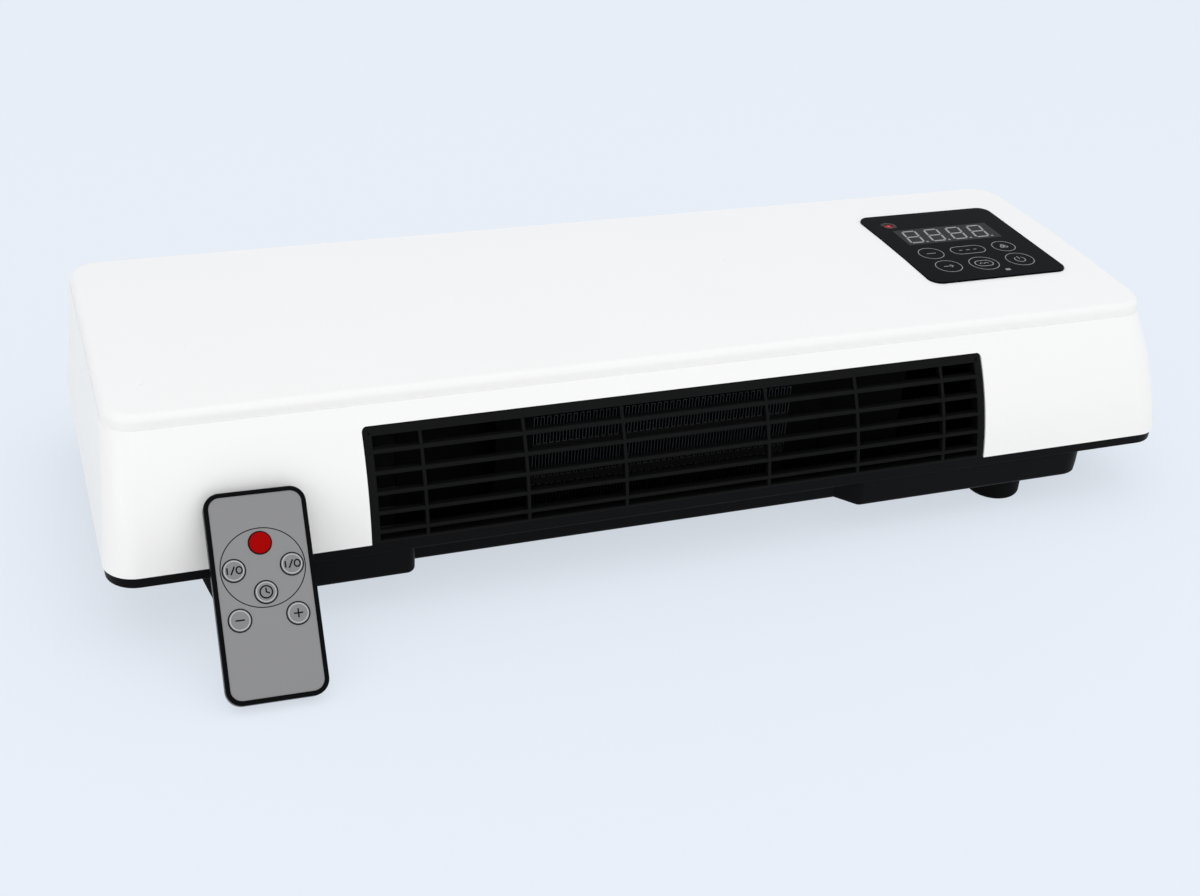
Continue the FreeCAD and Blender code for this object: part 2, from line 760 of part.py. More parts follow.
def base_pan():
    body = new_body("base_body")
    pan = new_sketch(body, "pan_plan", "XY", "foot_height")
    pan_outline(pan, "0", "0")
    pad(body, pan, "pan_height + rim_thick / 2")
    pad_ends = (number("pad_left_end"), number("pad_right_start"))
    fillet(body, "pad_ends", "pad_round",
           lambda size: upright(size) and min(abs(size.BoundBox.Center.x - end) for end in pad_ends) < 0.01)
    slopes = new_sketch(body, "pan_end_slopes", "XZ")
    for end, sign in (("0 - pan_left", "+"), ("pan_right", "-")):
        loop(slopes, [
            (end, "rim_bottom"),
            (f"{end} {sign} pan_lean", "foot_height"),
            (end, "foot_height"),
        ])
    pocket(body, slopes, "2 * case_depth", both_ways=True)
    low = number("foot_height")
    fillet(body, "pan_lower_edge", "pan_edge", lambda size: at_level(size, low))
    doc.recompute()
    rim = new_sketch(body, "rim_plan", "XY", "rim_bottom")
    rectangle(rim, ("rim_inset - case_length / 2", "case_length / 2 - rim_inset"),
              ("rim_inset", "case_depth - rim_inset"))
    pad(body, rim, "rim_thick")
    rim_end = number("case_length / 2 - rim_inset")
    fillet(body, "rim_corners", "case_corner - rim_inset",
           lambda size: upright(size) and abs(abs(size.BoundBox.Center.x) - rim_end) < 0.01)
    under = number("rim_bottom")
    pan_box = (number("0 - pan_left") - 1, number("pan_right") + 1)
    fillet(body, "rim_lower_edge", "rim_edge",
           lambda size: at_level(size, under) and (
               size.BoundBox.XMin < pan_box[0] or size.BoundBox.XMax > pan_box[1]))
    hollow = new_sketch(body, "pan_hollow", "XY", "rim_top")
    pan_outline(hollow, "wall", "pan_lean")
    pocket(body, hollow, "rim_top - pan_floor")
    rim_holes = new_sketch(body, "case_screw_holes", "XY", "rim_top")
    for spot in case_screw_spots():
        ring(rim_holes, spot, "screw_shank + fit_gap")
    pocket(body, rim_holes, "rim_thick + wall")
    stud_holes = new_sketch(body, "foot_stud_holes", "XY", "rim_top")
    for _, x, y in foot_spots():
        ring(stud_holes, (x, y), "foot_stud + run_gap")
    pocket(body, stud_holes, "rim_top")
    keyholes = new_sketch(body, "keyhole_entries", "XY", "rim_top")
    slots = new_sketch(body, "keyhole_slots", "XY", "rim_top")
    for side in ("-", "+"):
        x = f"0 {side} keyhole_span / 2"
        y = "pan_rear - keyhole_back"
        ring(keyholes, (x, y), "keyhole_entry")
        rectangle(slots, (f"{x} - keyhole_neck", f"{x} + keyhole_neck"), (y, f"{y} + keyhole_travel"))
    pocket(body, keyholes, "rim_top")
    pocket(body, slots, "rim_top")
    gland_hole = new_sketch(body, "gland_hole", "XZ", "0 - pan_rear")
    ring(gland_hole, ("gland_x", "gland_z"), "gland_neck + run_gap")
    pocket(body, gland_hole, "2 * wall", flip=True)
    posts = new_sketch(body, "power_posts", "XY", "pan_floor")
    for spot in power_post_spots():
        ring(posts, spot, "post_radius")
        ring(posts, spot, "screw_shank + run_gap")
    pad(body, posts, "post_height")
    node("base_pan", body)


def feet():
    for name, x, y in foot_spots():
        body = new_body(name + "_body")
        profile = new_sketch(body, name + "_profile", "XZ", f"0 - ({y})")
        bind(profile, "AttachmentOffset.Base.x", x)
        loop(profile, [
            ("0", "0"),
            ("foot_tread", "0", "foot_radius - foot_tread", "counterclockwise"),
            ("foot_radius", "foot_radius - foot_tread"),
            ("foot_radius", "foot_height - foot_root + foot_radius", "foot_root - foot_radius",
             "clockwise"),
            ("foot_root", "foot_height"),
            ("foot_stud", "foot_height"),
            ("foot_stud", "pan_floor"),
            ("0", "pan_floor"),
        ])
        turned = body.newObject("PartDesign::Revolution", name + "_turned")
        turned.Profile = profile
        turned.ReferenceAxis = (profile, ["V_Axis"])
        turned.Angle = 360
        node(name, body)


# Outlet grille, flush in the front face

def grille_skin(name, depth):
    """A curved sheet just behind the front face, as deep as the bars that it is cut into."""
    skin = new_body(name)
    side_view = new_sketch(skin, name + "_view", "YZ")
    bottom = "rim_top - wall"
    top = "crease"
    back = f"grille_recess + {depth}"
    loop(side_view, [
        (front_at(bottom, "grille_recess"), bottom, "front_radius - grille_recess", "clockwise"),
        (front_at(top, "grille_recess"), top),
        (front_at(top, back), top, f"front_radius - ({back})", "counterclockwise"),
        (front_at(bottom, back), bottom),
    ])
    pad(skin, side_view, "case_length", both_ways=True)
    return skin


def outlet_grille():
    low = "rim_top"
    high = "rim_top + grille_height - fit_gap"
    left = "grille_centre - grille_width / 2 + fit_gap"
    right = "grille_centre + grille_width / 2 - fit_gap"
    deep = ("0 - wall", "plate_front")
    frame = [
        box("grille_top", (left, right), deep, (f"{high} - grille_frame", high)),
        box("grille_sill_bar", (left, right), deep, (low, f"{low} + grille_sill")),
        box("grille_left", (left, f"{left} + grille_frame"), deep, (low, high)),
        box("grille_right", (f"{right} - grille_frame", right), deep, (low, high)),
    ]
    bars = []
    for index in range(BAR_COUNT):
        middle = f"rim_top + grille_height - bar_first - {index} * bar_pitch"
        bars.append(box(f"grille_bar_{index}", (left, right), deep,
                        (f"{middle} - bar_thick / 2", f"{middle} + bar_thick / 2")))
    for side in ("-", "+"):
        for index in range(POSTS_PER_SIDE):
            middle = f"post_centre {side} (post_first + {index} * post_pitch)"
            bars.append(box(f"grille_post_{'left' if side == '-' else 'right'}_{index}",
                            (f"{middle} - bar_thick / 2", f"{middle} + bar_thick / 2"), deep, (low, high)))
    frame_skin = grille_skin("frame_skin", "grille_depth")
    bar_skin = grille_skin("bar_skin", "bar_depth")
    lattice = fuse("grille_lattice", [
        common("grille_frame_cut", frame_skin, fuse("grille_frame_bars", frame)),
        common("grille_bar_cut", bar_skin, fuse("grille_bars", bars)),
    ])
    node("outlet_grille", common("grille_whole", grille_block("grille_outline", "fit_gap", low), lattice))


# Control window with its display, light, keys and board

def window_plate():
    body = new_body("window_body")
    plan = new_sketch(body, "window_plan", "XY", "window_bottom")
    rectangle(plan, ("window_x - window_wide / 2", "window_x + window_wide / 2"),
              ("window_y - window_deep / 2", "window_y + window_deep / 2"))
    pad(body, plan, "window_thick")
    fillet(body, "window_corners", "window_corner", upright)
    doc.recompute()
    hole = new_sketch(body, "led_hole", "XY", "window_top")
    ring(hole, ("led_x", "led_y"), "led_radius + run_gap")
    pocket(body, hole)
    node("control_window", body)


def control_parts():
    board_low = "board_top - board_thick"
    board = box("control_board_plate", ("window_x - board_half_x", "window_x + board_half_x"),
                ("window_y - board_half_y", "window_y + board_half_y"), (board_low, "board_top"))
    holes = []
    screws = []
    for index, (x, y) in enumerate(board_boss_spots()):
        holes.append(rod(f"control_board_hole_{index}", "z", (x, y, f"{board_low} - wall"),
                         "screw_shank + fit_gap", "board_thick + 2 * wall"))
        screws.append(fuse(f"control_screw_{index}", [
            rod(f"control_shank_{index}", "z", (x, y, f"{board_low} - screw_head_tall / 2"), "screw_shank",
                "board_screw_length + screw_head_tall / 2 - fit_gap"),
            rod(f"control_head_{index}", "z", (x, y, f"{board_low} - screw_head_tall"), "screw_head",
                "screw_head_tall")]))
    node("control_board", cut("control_board_cut", board, fuse("control_board_holes", holes)))
    node("display_module", box("display_block",
                               ("window_x - display_wide / 2", "window_x + display_wide / 2"),
                               ("display_y - display_deep / 2", "display_y + display_deep / 2"),
                               ("board_top", "window_bottom")))
    node("indicator_led", rod("led_rod", "z", ("led_x", "led_y", "board_top"), "led_radius",
                              "window_top - board_top"))
    pads = []
    for row in ("key_row_back", "key_row_front"):
        for column in ("-1", "0", "1"):
            pads.append(rod(f"touch_pad_{row}_{len(pads)}", "z",
                            (f"window_x + {column} * key_column", f"window_y - {row}", "board_top"),
                            "touch_pad_radius", "window_bottom - board_top"))
    node("touch_pads", group("touch_pad_group", pads))
    beside = "window_x + touch_pad_radius + 2 * fit_gap"
    node("ir_receiver", box("receiver_block", (beside, f"{beside} + receiver_side"),
                            ("receiver_y - receiver_side / 2", "receiver_y + receiver_side / 2"),
                            ("board_top", "window_bottom")))
    return screws


# Fan: housing, rotor, shaft, bearing and motor

def motor_bolt_spots():
    """The four motor screws about the fan's axis, as y and z."""
    for y in ("fan_y - motor_bolt", "fan_y + motor_bolt"):
        for z in ("fan_z - motor_bolt", "fan_z + motor_bolt"):
            yield y, z


def fan_housing():
    body = new_body("housing_body")
    span_y = ("plate_front", "plate_back")
    span_z = ("pan_floor", "plate_top")
    left = new_sketch(body, "housing_left", "YZ", "duct_left - plate_thick")
    rectangle(left, span_y, span_z)
    ring(left, ("fan_y", "fan_z"), "mount_waist + run_gap")
    blade_room = "blade_wide / 2 + 3 * fit_gap"
    rectangle(left, (f"blade_mid - ({blade_room})", f"blade_mid + ({blade_room})"),
              ("element_bottom", "element_bottom + element_height"))
    pad(body, left, "plate_thick")
    right = new_sketch(body, "housing_right", "YZ", "duct_right")
    rectangle(right, span_y, span_z)
    ring(right, ("fan_y", "fan_z"), "shaft_radius + 2 * fit_gap")
    for spot in motor_bolt_spots():
        ring(right, spot, "screw_shank + run_gap")
    pad(body, right, "plate_thick")
    guides = new_sketch(body, "housing_guides", "YZ", "duct_left - plate_thick")
    front = front_at("duct_roof_top", "grille_recess + grille_depth + wall / 2")
    loop(guides, [
        (front, "duct_floor - plate_thick"),
        ("fan_y", "duct_floor - plate_thick", "guide_radius + plate_thick", "counterclockwise"),
        ("fan_y + guide_radius + plate_thick", "fan_z"),
        ("fan_y + guide_radius", "fan_z", "guide_radius", "clockwise"),
        ("fan_y", "duct_floor"),
        (front, "duct_floor"),
    ])
    rectangle(guides, (front, "tongue"), ("duct_roof", "duct_roof_top"))
    pad(body, guides, "duct_width + 2 * plate_thick")
    flares = new_sketch(body, "housing_flares", "XY", "duct_floor - plate_thick")
    for edge, sign in (("duct_left", "-"), ("duct_right", "+")):
        loop(flares, [
            (edge, "plate_front"),
            (edge, "plate_front + plate_thick"),
            (f"{edge} {sign} flare", f"{front} + plate_thick"),
            (f"{edge} {sign} flare", front),
        ])
    pad(body, flares, "duct_roof_top - duct_floor + plate_thick")
    node("fan_housing", body)


def fan_rotor():
    body = new_body("rotor_body", "fan")
    for name, start in (("left", "rotor_left"), ("right", "rotor_right - disc_thick")):
        disc = new_sketch(body, f"rotor_disc_{name}", "YZ", start)
        ring(disc, ("0", "0"), "rotor_radius")
        ring(disc, ("0", "0"), "shaft_radius + run_gap / 2")
        pad(body, disc, "disc_thick")
    blade = new_sketch(body, "rotor_blade", "YZ", "rotor_left")
    inner = "rotor_radius - blade_reach"
    outer = "rotor_radius - blade_thick"
    rise = "blade_reach / 2"
    loop(blade, [
        (inner, "0", "blade_curve", "counterclockwise"),
        (f"sqrt(({outer})^2 - ({rise})^2)", rise),
        (f"sqrt(({outer})^2 - ({rise} + blade_thick)^2)", f"{rise} + blade_thick",
         "blade_curve - blade_thick", "clockwise"),
        (inner, "blade_thick"),
    ])
    blade_pad = pad(body, blade, "rotor_right - rotor_left")
    doc.recompute()
    circle = body.newObject("PartDesign::PolarPattern", "rotor_blades")
    circle.Originals = [blade_pad]
    axes = [item for item in body.Origin.OriginFeatures if item.Role == "X_Axis"]
    circle.Axis = (axes[0], [""])
    circle.Angle = 360
    circle.Occurrences = BLADE_COUNT
    body.Tip = circle
    doc.recompute()
    for name, start in (("left", "rotor_left"), ("right", "rotor_right - hub_length")):
        hub = new_sketch(body, f"rotor_hub_{name}", "YZ", start)
        ring(hub, ("0", "0"), "hub_radius")
        ring(hub, ("0", "0"), "shaft_radius + run_gap / 2")
        pad(body, hub, "hub_length")
    node("fan_rotor", body)


def fan_drive():
    axis = ("fan_y", "fan_z")
    shaft_start = "bush_mid - bush_length / 2 - fit_gap"
    node("fan_shaft", rod("shaft_rod", "x", (shaft_start, *axis), "shaft_radius",
                          f"motor_end + motor_tail - ({shaft_start})"))
    bush_start = "bush_mid - bush_length / 2"
    bush = rod("bush_rod", "x", (bush_start, *axis), "bush_radius", "bush_length")
    bush_bore = rod("bush_bore", "x", (f"{bush_start} - wall", *axis), "shaft_radius + run_gap",
                    "bush_length + 2 * wall")
    node("bearing_bush", cut("bush_cut", bush, bush_bore))
    flange_start = "duct_left - plate_thick - mount_flange"
    mount = fuse("mount_solid", [
        rod("mount_outside", "x", (flange_start, *axis), "mount_radius", "mount_flange"),
        rod("mount_middle", "x", (flange_start, *axis), "mount_waist", "2 * mount_flange + plate_thick"),
        rod("mount_inside", "x", ("duct_left", *axis), "mount_radius", "mount_flange"),
    ])
    mount_bore = rod("mount_bore", "x", (f"{flange_start} - wall", *axis), "bush_radius + run_gap / 2",
                     "2 * mount_flange + plate_thick + 2 * wall")
    node("bearing_mount", cut("mount_cut", mount, mount_bore))
    half = "motor_flange / 2"
    flange = box("motor_flange_plate", ("motor_start", "motor_start + motor_flange_thick"),
                 (f"fan_y - {half}", f"fan_y + {half}"), (f"fan_z - {half}", f"fan_z + {half}"))
    drum = rod("motor_drum", "x", ("motor_start", *axis), "motor_radius", "motor_end - motor_start")
    holes = [rod("motor_bore", "x", ("motor_start - wall", *axis), "shaft_radius + run_gap",
                 "motor_end - motor_start + 2 * wall")]
    screws = []
    for index, (y, z) in enumerate(motor_bolt_spots()):
        holes.append(rod(f"motor_hole_{index}", "x", ("motor_start - wall", y, z), "screw_shank + run_gap",
                         "motor_flange_thick + 2 * wall"))
        head = "motor_start + motor_flange_thick"
        screws.append(fuse(f"motor_screw_{index}", [
            rod(f"motor_shank_{index}", "x", ("duct_right", y, z), "screw_shank",
                f"{head} - duct_right + screw_head_tall / 2"),
            rod(f"motor_head_{index}", "x", (head, y, z), "screw_head", "screw_head_tall")]))
    node("motor_case", cut("motor_cut", fuse("motor_solid", [flange, drum]), fuse("motor_holes", holes)))
    node("motor_screws", group("motor_screw_group", screws))


# Ceramic heating element: corrugated fins between flat ceramic bars, held by two end caps

def fin_row(name, bottom):
    """One folded strip: upright walls joined in turn at the top and at the bottom."""
    low = number(bottom)
    high = low + number("fin_height")
    left = number("element_left")
    thick = number("fin_sheet")
    pairs = round(number("fin_width / fin_pitch"))
    step = (number("fin_width") - thick) / (2 * pairs - 1)
    over = []
    under = []
    for index in range(pairs):
        rise = left + 2 * index * step
        fall = rise + step
        over += [(rise, low + thick if index else low), (rise, high)]
        over += [(fall + thick, high), (fall + thick, low + thick if index < pairs - 1 else low)]
        under += [(rise + thick, low), (rise + thick, high - thick), (fall, high - thick), (fall, low)]
    front = number("ptc_front - set_mid")
    points = [FreeCAD.Vector(x, front, z) for x, z in over + under[::-1]]
    face = Part.Face(Part.makePolygon(points + points[:1]))
    item = doc.addObject("Part::Feature", name + "_strip")
    item.Shape = face.extrude(FreeCAD.Vector(0, number("ptc_depth"), 0))
    node(name, item)


def heating_element():
    span_y = ("ptc_front", "element_back")
    for index in range(FIN_ROWS):
        bottom = f"element_bottom + {index} * (fin_height + ptc_bar)"
        fin_row(f"ptc_fins_{index + 1}", bottom)
        if index < FIN_ROWS - 1:
            bar_low = f"{bottom} + fin_height"
            node(f"ptc_bar_{index + 1}", box(f"ptc_bar_block_{index}", ("element_left", "element_right"),
                                             span_y, (bar_low, f"{bar_low} + ptc_bar")))
    span_z = ("duct_floor", "cap_top")
    node("ptc_cap_left", box("cap_left_block", ("duct_left + fit_gap", "element_left"), span_y, span_z))
    node("ptc_cap_right", box("cap_right_block", ("element_right", "duct_right - fit_gap"), span_y, span_z))
    blades = []
    for index in range(FIN_ROWS):
        level = f"element_bottom + {index} * (fin_height + ptc_bar) + fin_height / 2"
        blades.append(box(f"terminal_blade_{index}",
                          ("duct_left + fit_gap - blade_long", "duct_left + fit_gap"),
                          ("blade_mid - blade_wide / 2", "blade_mid + blade_wide / 2"),
                          (f"{level} - blade_sheet / 2", f"{level} + blade_sheet / 2")))
    node("ptc_terminals", group("terminal_blades", blades))


def safety_devices():
    spot = ("duct_centre", "element_back")
    node("thermal_cutout", fuse("cutout_solid", [
        rod("cutout_disc", "z", (*spot, "duct_roof_top"), "cutout_radius", "cutout_height"),
        rod("cutout_top", "z", (*spot, "duct_roof_top"), "cutout_head", "2 * cutout_height"),
    ]))
    line = ("ptc_front + ptc_depth / 3", "duct_roof_top + fuse_radius")
    node("thermal_fuse", fuse("fuse_solid", [
        rod("fuse_body", "x", ("duct_centre - fuse_length / 2", *line), "fuse_radius", "fuse_length"),
        rod("fuse_wire", "x", ("duct_centre - 3 * fuse_length / 2", *line), "fuse_lead", "3 * fuse_length"),
    ]))


# Power board on posts in the pan

def power_parts():
    board = box("power_plate", ("power_left", "power_right"), ("power_front", "power_rear"),
                ("power_bottom", "power_top"))
    holes = []
    screws = []
    for index, (x, y) in enumerate(power_post_spots()):
        holes.append(rod(f"power_hole_{index}", "z", (x, y, "power_bottom - wall"), "screw_shank + fit_gap",
                         "board_thick + 2 * wall"))
        screws.append(fuse(f"power_screw_{index}", [
            rod(f"power_shank_{index}", "z", (x, y, "power_top - board_screw_length"), "screw_shank",
                "board_screw_length + screw_head_tall / 2"),
            rod(f"power_head_{index}", "z", (x, y, "power_top"), "screw_head", "screw_head_tall")]))
    node("power_board", cut("power_cut", board, fuse("power_holes", holes)))

    def block(label, x, y, wide, deep, tall):
        node(label, box(label + "_block", (x, f"{x} + {wide}"), (y, f"{y} + {deep}"),
                        ("power_top", f"power_top + {tall}")))

    block("relay_low", "parts_left", "relay_row", "relay_wide", "relay_deep", "relay_tall")
    block("relay_high", "parts_left + relay_wide + post_inset", "relay_row", "relay_wide", "relay_deep",
          "relay_tall")
    block("capacitor", "parts_left", "capacitor_row", "capacitor_wide", "capacitor_deep", "capacitor_tall")
    block("transformer", "parts_left", "transformer_row", "transformer_side", "transformer_side",
          "transformer_tall")
    block("terminal_block", "parts_left", "terminal_row", "terminal_wide", "terminal_deep", "terminal_tall")
    return screws


def cable_gland():
    flange = rod("gland_outside", "y", ("gland_x", "pan_rear", "gland_z"), "gland_flange",
                 "gland_flange_thick")
    neck = rod("gland_neck_rod", "y", ("gland_x", "pan_rear - 2 * wall", "gland_z"), "gland_neck",
               "2 * wall + gland_flange_thick")
    bore = rod("gland_bore_rod", "y", ("gland_x", "pan_rear - 3 * wall", "gland_z"), "gland_bore",
               "4 * wall + gland_flange_thick")
    node("cable_gland", cut("gland_cut", fuse("gland_solid", [flange, neck]), bore))


def lead(name, route):
    """A round lead: straight runs from point to point, joined by tangent arcs."""
    points = [FreeCAD.Vector(number(x), number(f"{y} - set_mid"), number(z)) for x, y, z in route]
    edges = []
    start = points[0]
    for before, corner, after in zip(points, points[1:], points[2:]):
        arriving = (corner - before).normalize()
        leaving = (after - corner).normalize()
        half_turn = math.tan(arriving.getAngle(leaving) / 2)
        shorter = min((corner - before).Length, (after - corner).Length)
        reach = min(number("lead_bend") * half_turn, 0.45 * shorter)
        radius = reach / half_turn
        inward = (leaving - arriving).normalize()
        depth = math.hypot(radius, reach) - radius
        bend_start = corner - arriving * reach
        bend_stop = corner + leaving * reach
        edges.append(Part.LineSegment(start, bend_start).toShape())
        edges.append(Part.Arc(bend_start, corner + inward * depth, bend_stop).toShape())
        start = bend_stop
    edges.append(Part.LineSegment(start, points[-1]).toShape())
    section = Part.Circle(points[0], points[1] - points[0], number("lead_radius")).toShape()
    item = doc.addObject("Part::Feature", name)
    item.Shape = Part.Wire(edges).makePipeShell([Part.Wire(section)], True, False)
    return item


def element_leads():
    """From the relay to the lowest and the highest terminal of the element."""
    relay_side = "parts_left + 2 * relay_wide + post_inset"
    blade_end = "duct_left + fit_gap - blade_long"
    leads = []
    for name, row, side in (("low", 0, 1), ("high", FIN_ROWS - 1, 2)):
        level = f"element_bottom + {row} * (fin_height + ptc_bar) + fin_height / 2"
        begin = f"relay_row + {side} * lead_pitch"
        aisle = f"aisle_x + {3 - side} * lead_pitch"
        leads.append(lead(f"element_lead_{name}", [
            (relay_side, begin, "lead_low"),
            (aisle, begin, "lead_low"),
            (aisle, f"({begin} + blade_mid) / 2", level),
            (aisle, "blade_mid", level),
            (blade_end, "blade_mid", level),
        ]))
    node("element_leads", group("element_lead_group", leads))


def mains_leads():
    """From the gland along the aisle to the terminal block."""
    leads = []
    for name, side in (("live", "1"), ("neutral", "-1")):
        start_x = f"gland_x + {side} * lead_pitch / 2"
        end_x = f"parts_left + terminal_wide / 2 - {side} * lead_pitch / 2"
        aisle = f"aisle_y + 2 * lead_pitch - {side} * lead_pitch / 2"
        leads.append(lead(f"mains_lead_{name}", [
            (start_x, "pan_rear - 2 * wall - fit_gap", "gland_z"),
            (start_x, aisle, "gland_z"),
            (end_x, aisle, "lead_low"),
            (end_x, "terminal_row + terminal_deep", "lead_low"),
        ]))
    node("mains_leads", group("mains_lead_group", leads))


def motor_leads():
    """From the transformer along the aisle to the motor's end."""
    leads = []
    for name, side in (("upper", "1"), ("lower", "-1")):
        shift = f"{side} * lead_pitch / 2"
        level = f"lead_low + {shift}"
        begin = f"transformer_row + transformer_side / 2 + {shift}"
        turn = f"motor_end + motor_tail + lead_aisle + {shift}"
        leads.append(lead(f"motor_lead_{name}", [
            ("parts_left + transformer_side", begin, level),
            (f"aisle_x - {shift}", begin, level),
            (f"aisle_x - {shift}", "aisle_y", level),
            (turn, "aisle_y", level),
            (turn, "fan_y + motor_radius / 2", f"fan_z + {shift}"),
            ("motor_end", "fan_y + motor_radius / 2", f"fan_z + {shift}"),
        ]))
    node("motor_leads", group("motor_lead_group", leads))


def panel_lead():
    """From the capacitor's side along the aisle, above the other leads, to the control board."""
    level = "lead_low + 3 * lead_pitch"
    node("panel_lead", lead("panel_lead_tube", [
        ("parts_left + capacitor_wide", "capacitor_row + capacitor_deep / 2", level),
        ("aisle_x", "capacitor_row + capacitor_deep / 2", level),
        ("aisle_x", "aisle_y", level),
        ("window_x", "aisle_y", level),
        ("window_x", "window_y", level),
        ("window_x", "window_y", "board_top - board_thick"),
    ]))


def case_screws():
    screws = []
    for index, (x, y) in enumerate(case_screw_spots()):
        screws.append(fuse(f"case_screw_{index}", [
            rod(f"case_shank_{index}", "z", (x, y, "rim_bottom - screw_head_tall / 2"), "screw_shank",
                "rim_thick + case_screw_length + screw_head_tall / 2 - wall"),
            rod(f"case_head_{index}", "z", (x, y, "rim_bottom - screw_head_tall"), "screw_head",
                "screw_head_tall")]))
    node("case_screws", group("case_screw_group", screws))


# Remote control, built flat in its own frame and leant on the heater

def remote_plate(body, name, inset, level, height):
    """A rounded plate of the remote's outline, set in by inset."""
    plan = new_sketch(body, name, "XY", level)
    half = f"remote_width / 2 - ({inset})"
    rectangle(plan, (f"0 - ({half})", half), (inset, f"remote_length - ({inset})"))
    pad(body, plan, height)
    fillet(body, name + "_corners", f"remote_corner - ({inset})", upright)
    doc.recompute()


def remote_disc(label, x, y, radius, level, height):
    """A round piece of the remote."""
    body = new_body(label + "_body", "remote")
    plan = new_sketch(body, label + "_plan", "XY", level)
    ring(plan, (x, y), radius)
    pad(body, plan, height)
    return body


BUTTONS = (
    ("button_red", "0", "button_first + 3 * button_row"),
    ("button_on", "0 - button_column", "button_first + 2 * button_row"),
    ("button_off", "button_column", "button_first + 2 * button_row"),
    ("button_timer", "0", "button_first + button_row"),
    ("button_minus", "0 - button_column", "button_first"),
    ("button_plus", "button_column", "button_first"),
)


def remote_shell():
    outer = new_body("remote_outer", "remote")
    remote_plate(outer, "remote_plan", "0", "0", "remote_thick")
    tall = number("remote_thick")
    fillet(outer, "remote_front_edge", "remote_edge", lambda size: at_level(size, tall))
    inner = new_body("remote_inner", "remote")
    remote_plate(inner, "remote_hollow", "remote_rim", "remote_floor", "remote_thick")
    mouth = new_body("tray_mouth", "remote")
    mouth_plan = new_sketch(mouth, "tray_mouth_plan", "XY", "remote_floor")
    rectangle(mouth_plan, ("0 - tray_half - face_gap", "tray_half + face_gap"),
              ("0 - remote_rim", "2 * remote_rim"))
    pad(mouth, mouth_plan, "tray_tall + 2 * face_gap")
    eye = new_body("diode_hole", "remote")
    eye_plan = new_sketch(eye, "diode_hole_plan", "XZ", "remote_corner - remote_length")
    ring(eye_plan, ("0", "card_top"), "diode_radius + run_gap")
    pad(eye, eye_plan, "4 * remote_corner", both_ways=True)
    hollow = cut("remote_tub", outer, fuse("remote_hollows", [inner, mouth, eye]))
    posts = new_body("card_posts", "remote")
    post_plan = new_sketch(posts, "card_post_plan", "XY", "remote_floor - remote_floor / 2")
    half = "remote_width / 2 - remote_rim - 2 * card_edge"
    for x in (f"0 - ({half})", half):
        for y in ("card_low + 2 * card_edge", "card_high - 3 * card_edge"):
            ring(post_plan, (x, y), "card_edge")
    pad(posts, post_plan, "card_bottom - remote_floor / 2")
    node("remote_case", fuse("remote_case_solid", [hollow, posts]))
    face = new_body("remote_face_body", "remote")
    remote_plate(face, "remote_face_plan", "remote_rim + face_gap", "face_bottom", "face_thick")
    holes = new_sketch(face, "button_holes", "XY", "face_top")
    for _, x, y in BUTTONS:
        ring(holes, (x, y), "button_radius + face_gap")
    pocket(face, holes)
    node("remote_face", face)


def remote_inside():
    card = new_body("card_body", "remote")
    plan = new_sketch(card, "card_plan", "XY", "card_bottom")
    half = "remote_width / 2 - remote_rim - card_edge"
    rectangle(plan, (f"0 - ({half})", half), ("card_low", "card_high"))
    pad(card, plan, "card_thick")
    node("remote_board", card)
    domes = []
    for label, x, y in BUTTONS:
        domes.append(remote_disc(label + "_dome", x, y, "dome_radius", "card_top", "dome_tall"))
    node("key_domes", group("key_dome_group", domes))
    diode = new_body("diode_body", "remote")
    diode_plan = new_sketch(diode, "diode_plan", "XZ", "0 - remote_length")
    ring(diode_plan, ("0", "card_top"), "diode_radius")
    pad(diode, diode_plan, "remote_length - card_high")
    node("remote_diode", diode)
    tray = new_body("tray_body", "remote")
    tray_plan = new_sketch(tray, "tray_plan", "XY", "tray_bottom")
    rectangle(tray_plan, ("0 - tray_half", "tray_half"), ("0", "tray_long"))
    pad(tray, tray_plan, "tray_tall")
    nest = new_sketch(tray, "cell_nest", "XY", "tray_bottom + tray_tall")
    cell_y = "tray_long / 2 + remote_rim / 2"
    ring(nest, ("0", cell_y), "cell_radius + face_gap")
    pocket(tray, nest, "tray_tall - tray_floor")
    node("battery_tray", tray)
    node("coin_cell", remote_disc("coin_cell_disc", "0", cell_y, "cell_radius", "tray_bottom + tray_floor",
                                  "cell_thick"))


def remote_buttons():
    for label, x, y in BUTTONS:
        body = new_body(label + "_body", "remote")
        profile = new_sketch(body, label + "_profile", "XZ", f"0 - ({y})")
        bind(profile, "AttachmentOffset.Base.x", x)
        shoulder = "face_top + button_proud"
        dome = "(button_radius^2 + button_dome^2) / (2 * button_dome)"
        loop(profile, [
            ("0", "stem_low"),
            ("button_stem", "stem_low"),
            ("button_stem", "button_low"),
            ("button_flange", "button_low"),
            ("button_flange", "button_low + button_flange_thick"),
            ("button_radius", "button_low + button_flange_thick"),
            ("button_radius", shoulder, dome, "counterclockwise"),
            ("0", f"{shoulder} + button_dome"),
        ])
        turned = body.newObject("PartDesign::Revolution", label + "_turned")
        turned.Profile = profile
        turned.ReferenceAxis = (profile, ["V_Axis"])
        turned.Angle = 360
        node(label, body)


top_cover()
base_pan()
feet()
outlet_grille()
window_plate()
control_screws = control_parts()
fan_housing()
fan_rotor()
fan_drive()
heating_element()
safety_devices()
power_screws = power_parts()
node("board_screws", group("board_screw_group", control_screws + power_screws))
cable_gland()
mains_leads()
element_leads()
motor_leads()
panel_lead()
case_screws()
remote_shell()
remote_inside()
remote_buttons()
doc.recompute()

